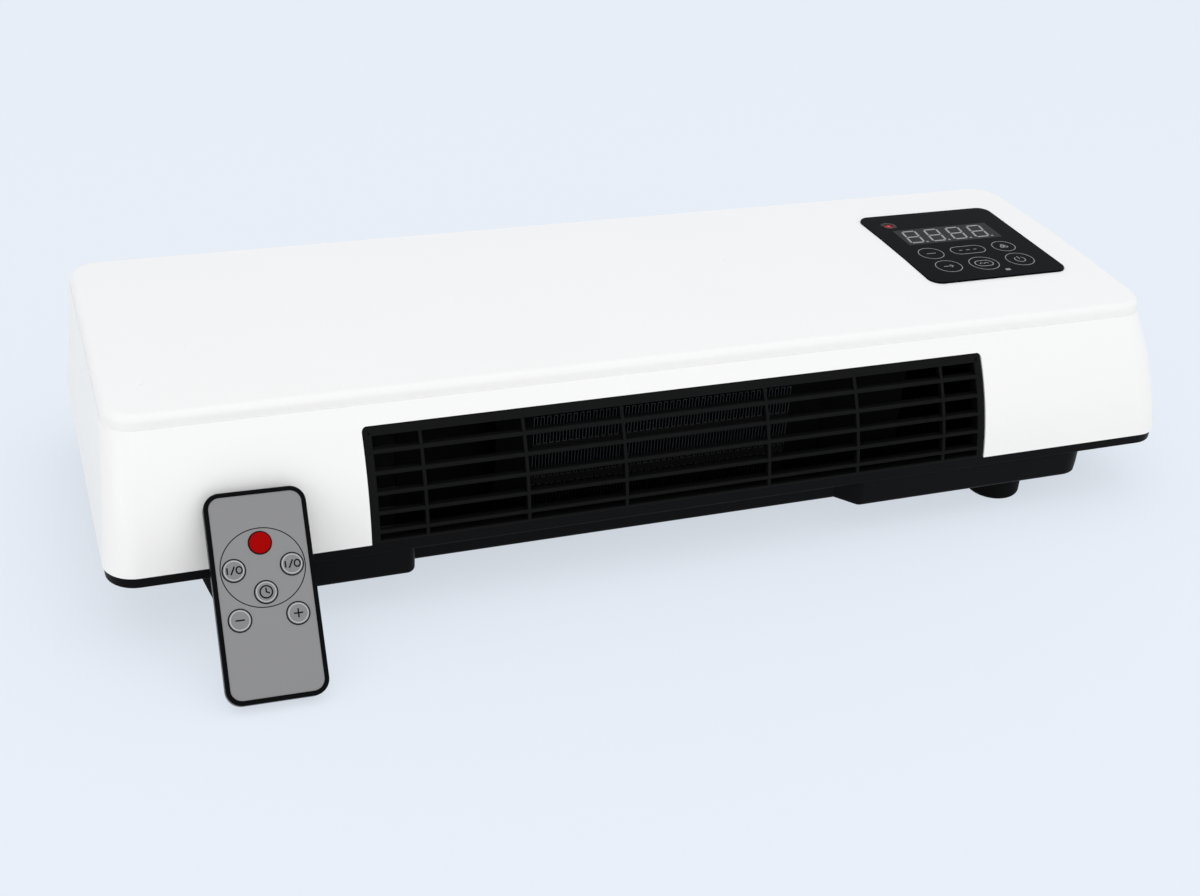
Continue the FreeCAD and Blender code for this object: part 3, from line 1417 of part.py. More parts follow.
# Every feature has to be sound before any piece is written
for item in doc.Objects:
    if "Invalid" in item.State or "Error" in item.State:
        raise RuntimeError(f"{item.Name} failed: {item.State}")
for item in NODES:
    if item.Shape.isNull() or not item.Shape.isValid() or not item.Shape.Solids:
        raise RuntimeError(f"{item.Label} has no sound shape")
os.makedirs("parts", exist_ok=True)
for item in NODES:
    item.Shape.exportStep(f"parts/{item.Label}.step")
    print(item.Label, len(item.Shape.Solids), round(item.Shape.Volume, 1))
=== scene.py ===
# %% [markdown]
# # A ceramic fan heater and its card remote
# The heater is a long, low case of white moulded plastic on a black base. Warm air leaves through a
# black grille in the curved front. A black window with touch keys lies in the top, and a card remote
# leans on the front. The solids come from the CAD model. This lesson gives them their finishes, and adds
# what is too fine for a solid: slats with soft edges, printed lines and screw heads.

# %% Load the solids
import json
import math

import bmesh
import bpy
from mathutils import Matrix, Vector

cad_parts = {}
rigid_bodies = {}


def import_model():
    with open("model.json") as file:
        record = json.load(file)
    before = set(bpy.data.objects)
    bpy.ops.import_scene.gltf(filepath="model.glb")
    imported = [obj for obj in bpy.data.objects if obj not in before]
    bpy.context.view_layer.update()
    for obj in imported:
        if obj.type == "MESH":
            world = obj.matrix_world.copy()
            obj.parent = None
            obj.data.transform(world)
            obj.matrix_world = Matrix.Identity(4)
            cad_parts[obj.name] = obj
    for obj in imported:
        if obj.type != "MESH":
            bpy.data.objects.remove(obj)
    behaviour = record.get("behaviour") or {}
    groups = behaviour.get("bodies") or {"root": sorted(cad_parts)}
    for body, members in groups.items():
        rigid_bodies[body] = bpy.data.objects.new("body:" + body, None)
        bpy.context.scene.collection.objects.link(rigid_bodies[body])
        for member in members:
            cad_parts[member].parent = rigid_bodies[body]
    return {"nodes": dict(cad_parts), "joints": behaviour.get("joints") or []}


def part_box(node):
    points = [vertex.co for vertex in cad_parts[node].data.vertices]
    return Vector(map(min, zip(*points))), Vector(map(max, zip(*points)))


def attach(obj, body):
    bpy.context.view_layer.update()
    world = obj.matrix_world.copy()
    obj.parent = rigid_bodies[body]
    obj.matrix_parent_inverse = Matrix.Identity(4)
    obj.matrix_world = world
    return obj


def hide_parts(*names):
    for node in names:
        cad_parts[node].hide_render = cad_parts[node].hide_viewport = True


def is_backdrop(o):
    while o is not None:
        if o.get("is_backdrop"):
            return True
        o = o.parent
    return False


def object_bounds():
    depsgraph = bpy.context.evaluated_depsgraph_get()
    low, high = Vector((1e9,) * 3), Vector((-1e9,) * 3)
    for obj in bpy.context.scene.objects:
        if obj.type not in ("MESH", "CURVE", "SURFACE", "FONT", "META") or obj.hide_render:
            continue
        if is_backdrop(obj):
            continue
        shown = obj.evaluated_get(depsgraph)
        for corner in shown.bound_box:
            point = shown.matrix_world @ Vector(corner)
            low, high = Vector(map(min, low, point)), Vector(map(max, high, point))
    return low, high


for leftover in list(bpy.data.objects):
    bpy.data.objects.remove(leftover)
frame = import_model()
cad_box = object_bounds()
nodes = frame["nodes"]
MM = 0.001
print("solids", len(nodes), "box", [round(value / MM, 1) for corner in cad_box for value in corner])

# %% [markdown]
# ## Two frames to work in
# The heater has its own depth scale that starts at the front edge of the cover, so the back of the cover
# gives its zero. The remote leans, so it gets a frame of its own: across, up along its length, and out
# of its face. Its two joints already hold those directions, which is safer than measuring angles by eye.

# %% Find the frames
CASE_DEPTH = 180
MARKS_FROM_RIGHT = 37.5
MARKS_FROM_BACK = 39.5
depth_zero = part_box("top_cover")[1].y - CASE_DEPTH * MM


def heater_point(across, depth, height):
    """A place on the heater in metres, from millimetres across, back from the front edge, and up."""
    return Vector((across * MM, depth_zero + depth * MM, height * MM))


axes = {joint["name"]: Vector(joint["axis"]).normalized() for joint in frame["joints"]}
face_out = axes["remote_lift"]
length_up = -axes["tray_slide"]
side_across = length_up.cross(face_out)
turned = Matrix((side_across, length_up, face_out)).transposed()


def span(name, turn):
    """Lowest and highest corner of a solid, measured along turned axes."""
    points = [turn.transposed() @ vertex.co for vertex in nodes[name].data.vertices]
    low = Vector([min(point[axis] for point in points) for axis in range(3)])
    high = Vector([max(point[axis] for point in points) for axis in range(3)])
    return low, high


case_low, case_high = span("remote_case", turned)
remote_zero = turned @ Vector(((case_low.x + case_high.x) / 2, case_low.y, case_low.z))
remote_place = Matrix.Translation(remote_zero) @ turned.to_4x4()
window_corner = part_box("control_window")[1]
window_middle = window_corner - Vector((MARKS_FROM_RIGHT * MM, MARKS_FROM_BACK * MM, 0))
window_place = Matrix.Translation(window_middle)
print("remote stands at", [round(value / MM, 1) for value in remote_zero])

# %% [markdown]
# ## Colours and nodes
# Colours are written as sRGB hex, as a paint chart gives them, and one function turns them to the linear
# values that the shader needs. One more function adds any node with its settings and links.

# %% Colour and node helpers
def linear(code):
    """An sRGB hex colour as a linear colour with full alpha."""
    channels = [int(code[place:place + 2], 16) / 255 for place in (1, 3, 5)]
    return tuple(c / 12.92 if c <= 0.04045 else ((c + 0.055) / 1.055) ** 2.4 for c in channels) + (1.0,)


def add(tree, kind, settings=None, inputs=None):
    """Add a node, set its options, and fill or link its inputs."""
    node = tree.nodes.new(kind)
    for name, value in (settings or {}).items():
        setattr(node, name, value)
    for name, value in (inputs or {}).items():
        if isinstance(value, bpy.types.NodeSocket):
            tree.links.new(value, node.inputs[name])
        else:
            node.inputs[name].default_value = value
    return node


def per_metre(size_mm):
    """Scale of a pattern whose features are a number of millimetres apart."""
    return 1000 / size_mm


def start_finish(name, colour, roughness, metallic=0.0, specular=0.5):
    """A material with its even values on the shader's own sockets."""
    material = bpy.data.materials.new(name)
    material.use_nodes = True
    shader = material.node_tree.nodes["Principled BSDF"]
    shader.inputs["Base Color"].default_value = linear(colour)
    shader.inputs["Roughness"].default_value = roughness
    shader.inputs["Metallic"].default_value = metallic
    shader.inputs["Specular IOR Level"].default_value = specular
    return material, material.node_tree, shader


# %% [markdown]
# ## Moulded plastics
# Most of the heater is moulded ABS. The mould gives the white cover a polished skin with a trace of
# orange peel, and the black parts a fine spark-eroded grain. Both have an even colour with a slow drift,
# so one recipe with a grain size, a grain depth and a gloss serves them all. Grains below half a
# millimetre are drawn a little coarser than life, so that they show.

# %% Moulded finish
DRIFT_SIZE = 70
GLOSS_SWING = 0.05
GRAIN_RELIEF = 0.6


def moulded(name, colour, drift_colour, roughness, grain_mm, depth_mm, specular=0.5):
    """Moulded plastic: slow drift of the colour, and a fine grain in gloss and relief."""
    material, tree, shader = start_finish(name, colour, roughness, specular=specular)
    place = add(tree, "ShaderNodeTexCoord").outputs["Object"]
    drift = add(tree, "ShaderNodeTexNoise",
                inputs={"Vector": place, "Scale": per_metre(DRIFT_SIZE), "Detail": 2.0})
    tone = add(tree, "ShaderNodeMix", {"data_type": "RGBA"},
               {0: drift.outputs["Fac"], 6: linear(colour), 7: linear(drift_colour)})
    tree.links.new(tone.outputs[2], shader.inputs["Base Color"])
    grain = add(tree, "ShaderNodeTexNoise",
                inputs={"Vector": place, "Scale": per_metre(grain_mm), "Detail": 3.0})
    gloss = add(tree, "ShaderNodeMapRange",
                inputs={"Value": grain.outputs["Fac"], "To Min": roughness - GLOSS_SWING,
                        "To Max": roughness + GLOSS_SWING})
    tree.links.new(gloss.outputs["Result"], shader.inputs["Roughness"])
    relief = add(tree, "ShaderNodeBump",
                 inputs={"Height": grain.outputs["Fac"], "Distance": depth_mm * MM,
                         "Strength": GRAIN_RELIEF})
    tree.links.new(relief.outputs["Normal"], shader.inputs["Normal"])
    return material


cover_white = moulded("polished_white_abs", "#F6F6F6", "#F4F4F4", 0.30, 6.0, 0.01)
base_black = moulded("grained_black_abs", "#0E0E0F", "#0B0B0C", 0.42, 0.9, 0.03, specular=0.05)
grille_black = moulded("satin_black_abs", "#101010", "#0D0D0D", 0.40, 0.8, 0.02, specular=0.06)
foot_black = moulded("black_rubber", "#0A0A0A", "#080808", 0.70, 0.7, 0.04, specular=0.06)
duct_black = moulded("duct_black_plastic", "#050506", "#040405", 0.65, 1.2, 0.03, specular=0.05)
part_black = moulded("moulded_black_phenolic", "#060606", "#040404", 0.55, 1.0, 0.02, specular=0.03)
remote_black = moulded("remote_black_abs", "#050505", "#040404", 0.30, 0.7, 0.01, specular=0.05)
tray_black = moulded("tray_black_abs", "#0E0E0F", "#0B0B0C", 0.40, 0.7, 0.02, specular=0.2)
relay_blue = moulded("relay_blue_case", "#2A56A0", "#264E94", 0.35, 1.5, 0.01)
capacitor_yellow = moulded("film_capacitor_yellow", "#D0A72E", "#C49A24", 0.30, 2.0, 0.01)
lead_brown = moulded("brown_lead_sleeve", "#6A3F24", "#5D361F", 0.50, 1.0, 0.01)
lead_red = moulded("red_silicone_sleeve", "#1E0A09", "#190807", 0.70, 1.0, 0.01, specular=0.05)
lead_grey = moulded("dark_grey_lead_sleeve", "#242425", "#1E1E1F", 0.60, 1.0, 0.01, specular=0.1)
print("plastics", len(bpy.data.materials))

# %% [markdown]
# ## Gloss and print
# The window is smoked acrylic. In even light it mirrors very little, so its gloss is kept low and it stays
# nearly black. The marks on it and on the remote are screen print: a thin even ink with a faint speckle. The
# same dark ink also paints the shadow in the gap round each remote key, and a pale ring on each grey key is
# a painted highlight. The remote's face is a printed film in plain grey, and its keys are soft silicone
# domes with a satin coat.

# %% Window, print and remote finishes
window_black = moulded("smoked_acrylic", "#0A0A0B", "#080809", 0.22, 40.0, 0.002, specular=0.01)
panel_grey = moulded("display_panel_grey", "#3A3B3D", "#323335", 0.40, 1.2, 0.005, specular=0.01)
segment_grey = moulded("segment_grey", "#A2A4A6", "#969899", 0.45, 1.0, 0.005, specular=0.1)
ink_grey = moulded("grey_screen_ink", "#9A9C9E", "#8C8E90", 0.50, 0.8, 0.005, specular=0.1)
# Dark ink for print, also used for the painted shadow in the gap round each remote key
dark_ink_and_gap_shade = moulded("dark_screen_ink_and_painted_gap_shade", "#141415", "#101011", 0.55, 0.8, 0.005, specular=0.1)
face_grey = moulded("grey_face_film", "#8B8B8C", "#878788", 0.42, 0.8, 0.008, specular=0.3)
key_grey = moulded("light_grey_key", "#838384", "#7C7C7E", 0.30, 0.9, 0.004, specular=0.4)
# Pale grey for the painted highlight ring near the edge of each grey key
painted_highlight_grey = moulded("light_grey_key_rim", "#C2C2C3", "#BABABB", 0.30, 0.9, 0.004, specular=0.4)
key_red = moulded("red_key", "#A40202", "#9A0202", 0.45, 0.9, 0.008, specular=0.03)


def glowing(name, centre, reach, colour, core, strength):
    """A small lamp, or its glow on the window: red light that fades from the middle outwards."""
    material, tree, shader = start_finish(name, colour, roughness=0.25, specular=0.05)
    place = add(tree, "ShaderNodeTexCoord").outputs["Object"]
    away = add(tree, "ShaderNodeVectorMath", {"operation": "DISTANCE"}, {0: place, 1: centre})
    fade = add(tree, "ShaderNodeMapRange", {"interpolation_type": "SMOOTHSTEP"},
               {"Value": away.outputs["Value"], "From Max": reach * MM, "To Min": strength, "To Max": 0.0})
    shader.inputs["Emission Color"].default_value = linear(core)
    tree.links.new(fade.outputs["Result"], shader.inputs["Emission Strength"])
    return material


led_low, led_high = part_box("indicator_led")
led_top = (led_low + led_high) / 2
led_top.z = led_high.z
lens_red = glowing("red_lamp_lens", led_top, reach=1.1, colour="#A0081A", core="#FF6C78", strength=0.6)
window_glow = glowing("red_glow_on_acrylic", led_top, reach=4.2, colour="#0A0A0B", core="#B00818",
                      strength=0.3)
diode_tint = moulded("tinted_diode_lens", "#2A2438", "#241F30", 0.12, 3.0, 0.002)
print("with gloss and print", len(bpy.data.materials))

# %% [markdown]
# ## Metals, ceramic and boards
# The inside has zinc-plated steel, plain aluminium, brass and a dark ceramic. Rolled sheet shows fine
# lines along its length, so its roughness follows a noise that is stretched along one axis. A circuit
# board is green lacquer over copper tracks: a brick pattern with thin joints draws the tracks.

# %% Metal and board finishes
LINE_STRETCH = 0.05
LINE_SWING = 0.1
TRACK_SPACING = 6.0
TRACK_SHARE = 0.06


def rolled_metal(name, colour, roughness, line_mm):
    """Bare sheet or bar: a metal with fine lines along X."""
    material, tree, shader = start_finish(name, colour, roughness, metallic=1.0)
    place = add(tree, "ShaderNodeTexCoord").outputs["Object"]
    stretch = add(tree, "ShaderNodeMapping", inputs={"Vector": place, "Scale": (LINE_STRETCH, 1.0, 1.0)})
    lines = add(tree, "ShaderNodeTexNoise",
                inputs={"Vector": stretch.outputs["Vector"], "Scale": per_metre(line_mm), "Detail": 3.0})
    gloss = add(tree, "ShaderNodeMapRange",
                inputs={"Value": lines.outputs["Fac"], "To Min": roughness - LINE_SWING,
                        "To Max": roughness + LINE_SWING})
    tree.links.new(gloss.outputs["Result"], shader.inputs["Roughness"])
    return material


def circuit_board(name, lacquer, track):
    """Lacquered board: darker lacquer, and lighter lines where copper tracks lie under it."""
    material, tree, shader = start_finish(name, lacquer, roughness=0.35)
    place = add(tree, "ShaderNodeTexCoord").outputs["Object"]
    tracks = add(tree, "ShaderNodeTexBrick",
                 inputs={"Vector": place, "Color1": linear(lacquer), "Color2": linear(lacquer),
                         "Mortar": linear(track), "Scale": per_metre(TRACK_SPACING),
                         "Mortar Size": TRACK_SHARE})
    tree.links.new(tracks.outputs["Color"], shader.inputs["Base Color"])
    return material


fin_aluminium = rolled_metal("heat_dulled_fin_aluminium", "#454648", 0.55, 0.8)
fuse_tin = rolled_metal("dull_tinned_fuse", "#4C4C4B", 0.60, 0.8)
rotor_aluminium = rolled_metal("rotor_aluminium", "#C4C6C8", 0.42, 1.0)
plated_steel = rolled_metal("zinc_plated_steel", "#B4B5B4", 0.35, 0.8)
bush_brass = rolled_metal("sintered_brass", "#C79A4E", 0.40, 0.8)
transformer_core = rolled_metal("varnished_core_steel", "#4A4642", 0.50, 0.6)
ptc_ceramic = moulded("dark_ptc_ceramic", "#141312", "#100F0F", 0.75, 0.8, 0.03, specular=0.05)
board_green = circuit_board("green_circuit_board", "#1F5A36", "#2F7A4A")
print("with metals and boards", len(bpy.data.materials))

# %% [markdown]
# ## Dress the solids
# The CAD solids already have their true shape and smooth normals, so most of them only need a finish.
# Each solid takes its material by name.

# %% Assign finishes
FINISHES = {
    cover_white: ["top_cover"],
    base_black: ["base_pan", "cable_gland"],
    foot_black: ["foot_front_left", "foot_front_right", "foot_rear_left", "foot_rear_right",
                 "bearing_mount"],
    grille_black: ["outlet_grille"],
    window_black: ["control_window"],
    panel_grey: ["display_module"],
    lens_red: ["indicator_led"],
    board_green: ["control_board", "power_board", "remote_board"],
    plated_steel: ["touch_pads", "fan_shaft", "motor_case", "motor_screws", "board_screws", "case_screws",
                   "key_domes", "coin_cell"],
    fuse_tin: ["thermal_fuse"],
    part_black: ["ir_receiver", "ptc_cap_left", "ptc_cap_right", "thermal_cutout", "terminal_block"],
    duct_black: ["fan_housing"],
    rotor_aluminium: ["fan_rotor"],
    bush_brass: ["bearing_bush", "ptc_terminals"],
    fin_aluminium: ["ptc_fins_1", "ptc_fins_2", "ptc_fins_3"],
    ptc_ceramic: ["ptc_bar_1", "ptc_bar_2"],
    relay_blue: ["relay_low", "relay_high"],
    capacitor_yellow: ["capacitor"],
    transformer_core: ["transformer"],
    lead_brown: ["mains_leads"],
    lead_red: ["element_leads"],
    lead_grey: ["motor_leads", "panel_lead"],
    remote_black: ["remote_case"],
    face_grey: ["remote_face"],
    diode_tint: ["remote_diode"],
    tray_black: ["battery_tray"],
    key_red: ["button_red"],
    key_grey: ["button_on", "button_off", "button_timer", "button_minus", "button_plus"],
}
for finish, names in FINISHES.items():
    for name in names:
        nodes[name].data.materials.clear()
        nodes[name].data.materials.append(finish)
bare = sorted(set(nodes) - {name for names in FINISHES.values() for name in names})
print("solids without a finish:", bare)

# %% [markdown]
# ## From node tree to plain mesh
# Whatever repeats or follows a line is grown by Geometry Nodes: slats, printed lines and screw heads. A
# small starting mesh holds the points or edges, the tree grows the shape on it, and the result is kept
# as a plain mesh, because an export drops live instances. The piece is then moved to its place in its
# mesh, so that its object stays at the origin.

# %% Tree helpers
def start_tree(name, sizes):
    """A node group with geometry in and out, and one named input for each size."""
    tree = bpy.data.node_groups.new(name, "GeometryNodeTree")
    tree.interface.new_socket("Geometry", in_out="INPUT", socket_type="NodeSocketGeometry")
    for size in sizes:
        tree.interface.new_socket(size, in_out="INPUT", socket_type="NodeSocketFloat")
    tree.interface.new_socket("Material", in_out="INPUT", socket_type="NodeSocketMaterial")
    tree.interface.new_socket("Geometry", in_out="OUTPUT", socket_type="NodeSocketGeometry")
    return tree, tree.nodes.new("NodeGroupInput")


def end_tree(tree, source, shape):
    """Realise the shape, give it the material, and send it out."""
    whole = add(tree, "GeometryNodeRealizeInstances", inputs={"Geometry": shape})
    painted = add(tree, "GeometryNodeSetMaterial",
                  inputs={"Geometry": whole.outputs["Geometry"], "Material": source.outputs["Material"]})
    add(tree, "NodeGroupOutput", inputs={"Geometry": painted.outputs["Geometry"]})


def seed_mesh(name, points, edges=(), numbers=None):
    """A starting mesh of points and edges, with one number per point for each named attribute."""
    mesh = bpy.data.meshes.new(name)
    mesh.from_pydata(points, edges, [])
    for label, values in (numbers or {}).items():
        mesh.attributes.new(label, "FLOAT", "POINT").data.foreach_set("value", values)
    return mesh


def show(name, mesh, body, stands_for=()):
    """Put a finished mesh in the scene, on its body."""
    piece = bpy.data.objects.new(name, mesh)
    bpy.context.scene.collection.objects.link(piece)
    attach(piece, body)
    if stands_for:
        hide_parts(*stands_for)


def grow(name, seed, tree, sizes, material):
    """Run a tree on a starting mesh and return the plain mesh that it makes."""
    holder = bpy.data.objects.new(name + "_seed", seed)
    bpy.context.scene.collection.objects.link(holder)
    modifier = holder.modifiers.new("grow", "NODES")
    modifier.node_group = tree
    values = dict(sizes, Material=material)
    for item in tree.interface.items_tree:
        if item.in_out == "INPUT" and item.name in values:
            modifier[item.identifier] = values[item.name]
    settled = holder.evaluated_get(bpy.context.evaluated_depsgraph_get())
    mesh = bpy.data.meshes.new_from_object(settled)
    mesh.name = name
    holder.modifiers.remove(modifier)
    bpy.data.objects.remove(holder)
    return mesh


# %% [markdown]
# ## The outlet grille
# The real grille is one moulding: thin bars in a deeper frame, with soft edges, all cut back to follow
# the curved front. The tree draws each bar as a rounded profile along a straight line, level or upright.
# Each point carries how thick and how deep its bar is. The frame follows a path of its own, up one side,
# over the top and down the other, with small arcs in the corners. A last step slides every point along
# the depth until the front edges lie on the arc of the cover's front.

# %% Sizes of the grille
# The arc of the cover's front: its radius, and its centre back from the front edge and up
ARC_RADIUS = 105.8472
ARC_DEPTH = 104.6728
ARC_HEIGHT = 18.476
RECESS = 0.4
BAR_THICK = 1.6
BAR_DEPTH = 3.5
BAR_EDGE = 0.35
BAR_STEPS = 24
EDGE_STEPS = 2
BAR_FIRST = 9.2
BAR_PITCH = 7.9
BAR_COUNT = 5
POST_MIDDLE = 3.6
POST_SPOTS = (34.0, 78.5, 123.0)
FRAME = 3.6
FRAME_DEPTH = 6.5
FRAME_CORNER = 1.9
SILL = 1.2
LEG_STEPS = 14
CORNER_STEPS = 6
grille_low, grille_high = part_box("outlet_grille")
grille_middle = (grille_low.x + grille_high.x) / 2
grille_half = (grille_high.x - grille_low.x) / 2
print("grille is", round(2 * grille_half / MM, 1), "mm wide")

# %% [markdown]
# The tree is put together from two helpers. The first makes one kind of bar: a line or a path, a rounded
# profile swept along it, and a copy on each point that asks for one. The second slides the finished bars
# onto the arc. The same arc could be cut with a boolean, but a slide keeps the bars' soft edges whole.

# %% Tree for the slats
def bar_shape(tree, get, number, bar):
    """One kind of bar, swept along its line or path, and set on its points."""
    if "path" in bar:
        steps = add(tree, "GeometryNodeMeshToCurve", inputs={"Mesh": bar["path"]})
    else:
        start = add(tree, "ShaderNodeCombineXYZ", inputs={bar["axis"]: bar["start"]})
        stop = add(tree, "ShaderNodeCombineXYZ", inputs={bar["axis"]: bar["stop"]})
        line = add(tree, "GeometryNodeCurvePrimitiveLine",
                   inputs={"Start": start.outputs["Vector"], "End": stop.outputs["Vector"]})
        steps = add(tree, "GeometryNodeResampleCurve",
                    inputs={"Curve": line.outputs["Curve"], "Count": BAR_STEPS})
    outline = add(tree, "GeometryNodeCurvePrimitiveQuadrilateral", {"mode": "RECTANGLE"},
                  {"Width": get[bar["wide"]], "Height": get[bar["tall"]]})
    rounded = add(tree, "GeometryNodeFilletCurve", {"mode": "POLY"},
                  {"Curve": outline.outputs["Curve"], "Radius": get["Edge"], "Count": EDGE_STEPS})
    swept = add(tree, "GeometryNodeCurveToMesh",
                inputs={"Curve": steps.outputs["Curve"], "Profile Curve": rounded.outputs["Curve"],
                        "Fill Caps": True})
    half_depth = add(tree, "ShaderNodeMath", {"operation": "MULTIPLY"}, {0: get[bar["deep"]], 1: 0.5})
    inward = add(tree, "ShaderNodeCombineXYZ", inputs={"Y": half_depth.outputs[0]})
    shape = add(tree, "GeometryNodeTransform",
                inputs={"Geometry": swept.outputs["Mesh"], "Translation": inward.outputs["Vector"]})
    if "points" in bar:
        scale = add(tree, "ShaderNodeCombineXYZ", inputs={"X": 1.0, "Y": number["deep"], "Z": 1.0})
        tree.links.new(number["thick"], scale.inputs[bar["grows"]])
        shape = add(tree, "GeometryNodeInstanceOnPoints",
                    inputs={"Points": bar["points"], "Instance": shape.outputs["Geometry"],
                            "Scale": scale.outputs["Vector"]})
    return shape.outputs[0]


def slide_to_front(tree, get, shape):
    """Slide every point along the depth by where the arc of the case lies at its height."""
    spot = add(tree, "GeometryNodeInputPosition").outputs["Position"]
    height = add(tree, "ShaderNodeSeparateXYZ", inputs={"Vector": spot}).outputs["Z"]
    rise = add(tree, "ShaderNodeMath", {"operation": "SUBTRACT"}, {0: height, 1: get["Arc Z"]})
    rise_squared = add(tree, "ShaderNodeMath", {"operation": "POWER"}, {0: rise.outputs[0], 1: 2.0})
    arc_squared = add(tree, "ShaderNodeMath", {"operation": "POWER"}, {0: get["Arc Radius"], 1: 2.0})
    chord = add(tree, "ShaderNodeMath", {"operation": "SUBTRACT"},
                {0: arc_squared.outputs[0], 1: rise_squared.outputs[0]})
    run = add(tree, "ShaderNodeMath", {"operation": "SQRT"}, {0: chord.outputs[0]})
    front = add(tree, "ShaderNodeMath", {"operation": "SUBTRACT"}, {0: get["Arc Y"], 1: run.outputs[0]})
    slide = add(tree, "ShaderNodeCombineXYZ", inputs={"Y": front.outputs[0]})
    bent = add(tree, "GeometryNodeSetPosition",
               inputs={"Geometry": shape, "Offset": slide.outputs["Vector"]})
    return bent.outputs["Geometry"]


def slat_tree():
    """Rounded bars along X and along Z in a frame, with their fronts on the arc of the case."""
    sizes = ["Width", "Low", "High", "Depth", "Thick", "Edge", "Frame", "Frame Depth",
             "Arc Radius", "Arc Y", "Arc Z"]
    tree, source = start_tree("grille_slats", sizes)
    get = source.outputs
    number = {}
    for label in ("framing", "upright", "thick", "deep"):
        number[label] = add(tree, "GeometryNodeInputNamedAttribute", {"data_type": "FLOAT"},
                            {"Name": label}).outputs["Attribute"]
    seeds = add(tree, "GeometryNodeSeparateGeometry", {"domain": "POINT"},
                {"Geometry": get["Geometry"], "Selection": number["framing"]})
    kinds = add(tree, "GeometryNodeSeparateGeometry", {"domain": "POINT"},
                {"Geometry": seeds.outputs["Inverted"], "Selection": number["upright"]})
    half = add(tree, "ShaderNodeMath", {"operation": "MULTIPLY"}, {0: get["Width"], 1: 0.5})
    minus = add(tree, "ShaderNodeMath", {"operation": "MULTIPLY"}, {0: get["Width"], 1: -0.5})
    level = {"points": kinds.outputs["Inverted"], "axis": "X", "start": minus.outputs[0],
             "stop": half.outputs[0], "wide": "Depth", "tall": "Thick", "deep": "Depth", "grows": "Z"}
    erect = {"points": kinds.outputs["Selection"], "axis": "Z", "start": get["Low"], "stop": get["High"],
             "wide": "Thick", "tall": "Depth", "deep": "Depth", "grows": "X"}
    border = {"path": seeds.outputs["Selection"], "wide": "Frame", "tall": "Frame Depth",
              "deep": "Frame Depth"}
    parts = add(tree, "GeometryNodeJoinGeometry")
    for bar in (level, erect, border):
        tree.links.new(bar_shape(tree, get, number, bar), parts.inputs["Geometry"])
    whole = add(tree, "GeometryNodeRealizeInstances", inputs={"Geometry": parts.outputs["Geometry"]})
    end_tree(tree, source, slide_to_front(tree, get, whole.outputs["Geometry"]))
    return tree


# %% [markdown]
# Each bar starts as one point that carries its kind and its size. The sill at the bottom is a thinner
# and deeper bar. The frame starts as a chain of points: it is drawn for the right half and mirrored.

# %% Place the bars
def ellipse(centre, radius_x, radius_y, start=0, stop=360, steps=48):
    """Points along an ellipse or an arc of it, with its turn in degrees."""
    angles = [math.radians(start + (stop - start) * step / steps) for step in range(steps + 1)]
    points = [(centre[0] + radius_x * math.cos(a), centre[1] + radius_y * math.sin(a)) for a in angles]
    return points[:-1] + points[:1] if stop - start == 360 else points


bars = []
for index in range(BAR_COUNT):
    bars.append((grille_middle, grille_high.z - (BAR_FIRST + index * BAR_PITCH) * MM, 0, 1.0, 1.0))
bars.append((grille_middle, grille_low.z + SILL / 2 * MM, 0, SILL / BAR_THICK, FRAME_DEPTH / BAR_DEPTH))
for side in (-1, 1):
    for offset in POST_SPOTS:
        bars.append(((POST_MIDDLE + side * offset) * MM, 0, 1, 1.0, 1.0))

path_bend = (FRAME_CORNER - FRAME / 2) * MM
path_top = grille_high.z - FRAME / 2 * MM
path_half = grille_half - FRAME / 2 * MM
right_leg = [(path_half, grille_low.z + (path_top - path_bend - grille_low.z) * step / LEG_STEPS)
             for step in range(LEG_STEPS)]
right_leg += ellipse((path_half - path_bend, path_top - path_bend), path_bend, path_bend, 0, 90,
                     CORNER_STEPS)
border_path = right_leg + [(-x, z) for x, z in reversed(right_leg)]
first = len(bars)
bars += [(grille_middle + x, z, 0, 0.0, 0.0) for x, z in border_path]
border_edges = [(first + step, first + step + 1) for step in range(len(border_path) - 1)]
print("bars", first, "points along the frame", len(border_path))

# %% Grow the grille
grille_seed = seed_mesh("grille_seed", [(x, 0, z) for x, z, upright, thick, deep in bars], border_edges, {
    "framing": [float(index >= first) for index in range(len(bars))],
    "upright": [upright for x, z, upright, thick, deep in bars],
    "thick": [thick for x, z, upright, thick, deep in bars],
    "deep": [deep for x, z, upright, thick, deep in bars],
})
grille_mesh = grow("outlet_slats", grille_seed, slat_tree(), {
    "Width": 2 * path_half,
    "Low": grille_low.z + SILL / 2 * MM,
    "High": path_top,
    "Depth": BAR_DEPTH * MM,
    "Thick": BAR_THICK * MM,
    "Edge": BAR_EDGE * MM,
    "Frame": FRAME * MM,
    "Frame Depth": FRAME_DEPTH * MM,
    "Arc Radius": (ARC_RADIUS - RECESS) * MM,
    "Arc Y": depth_zero + ARC_DEPTH * MM,
    "Arc Z": ARC_HEIGHT * MM,
}, grille_black)
show("outlet_slats", grille_mesh, "heater", ["outlet_grille"])
print("grille faces", len(grille_mesh.polygons))

# %% [markdown]
# ## Printed and painted lines
# The rings, signs and digits on the window and on the remote are screen print, apart from the painted shadow
# round the remote's keys and the painted highlight ring on each grey key. Each is drawn as a path in a flat
# drawing, in millimetres, and a tree sweeps a thin flat profile along it. The drawing is then laid on its
# surface, a hundredth of a millimetre proud, as ink is.

# %% Tree for drawn lines
INK = 0.02
DOME_CUTS = 6


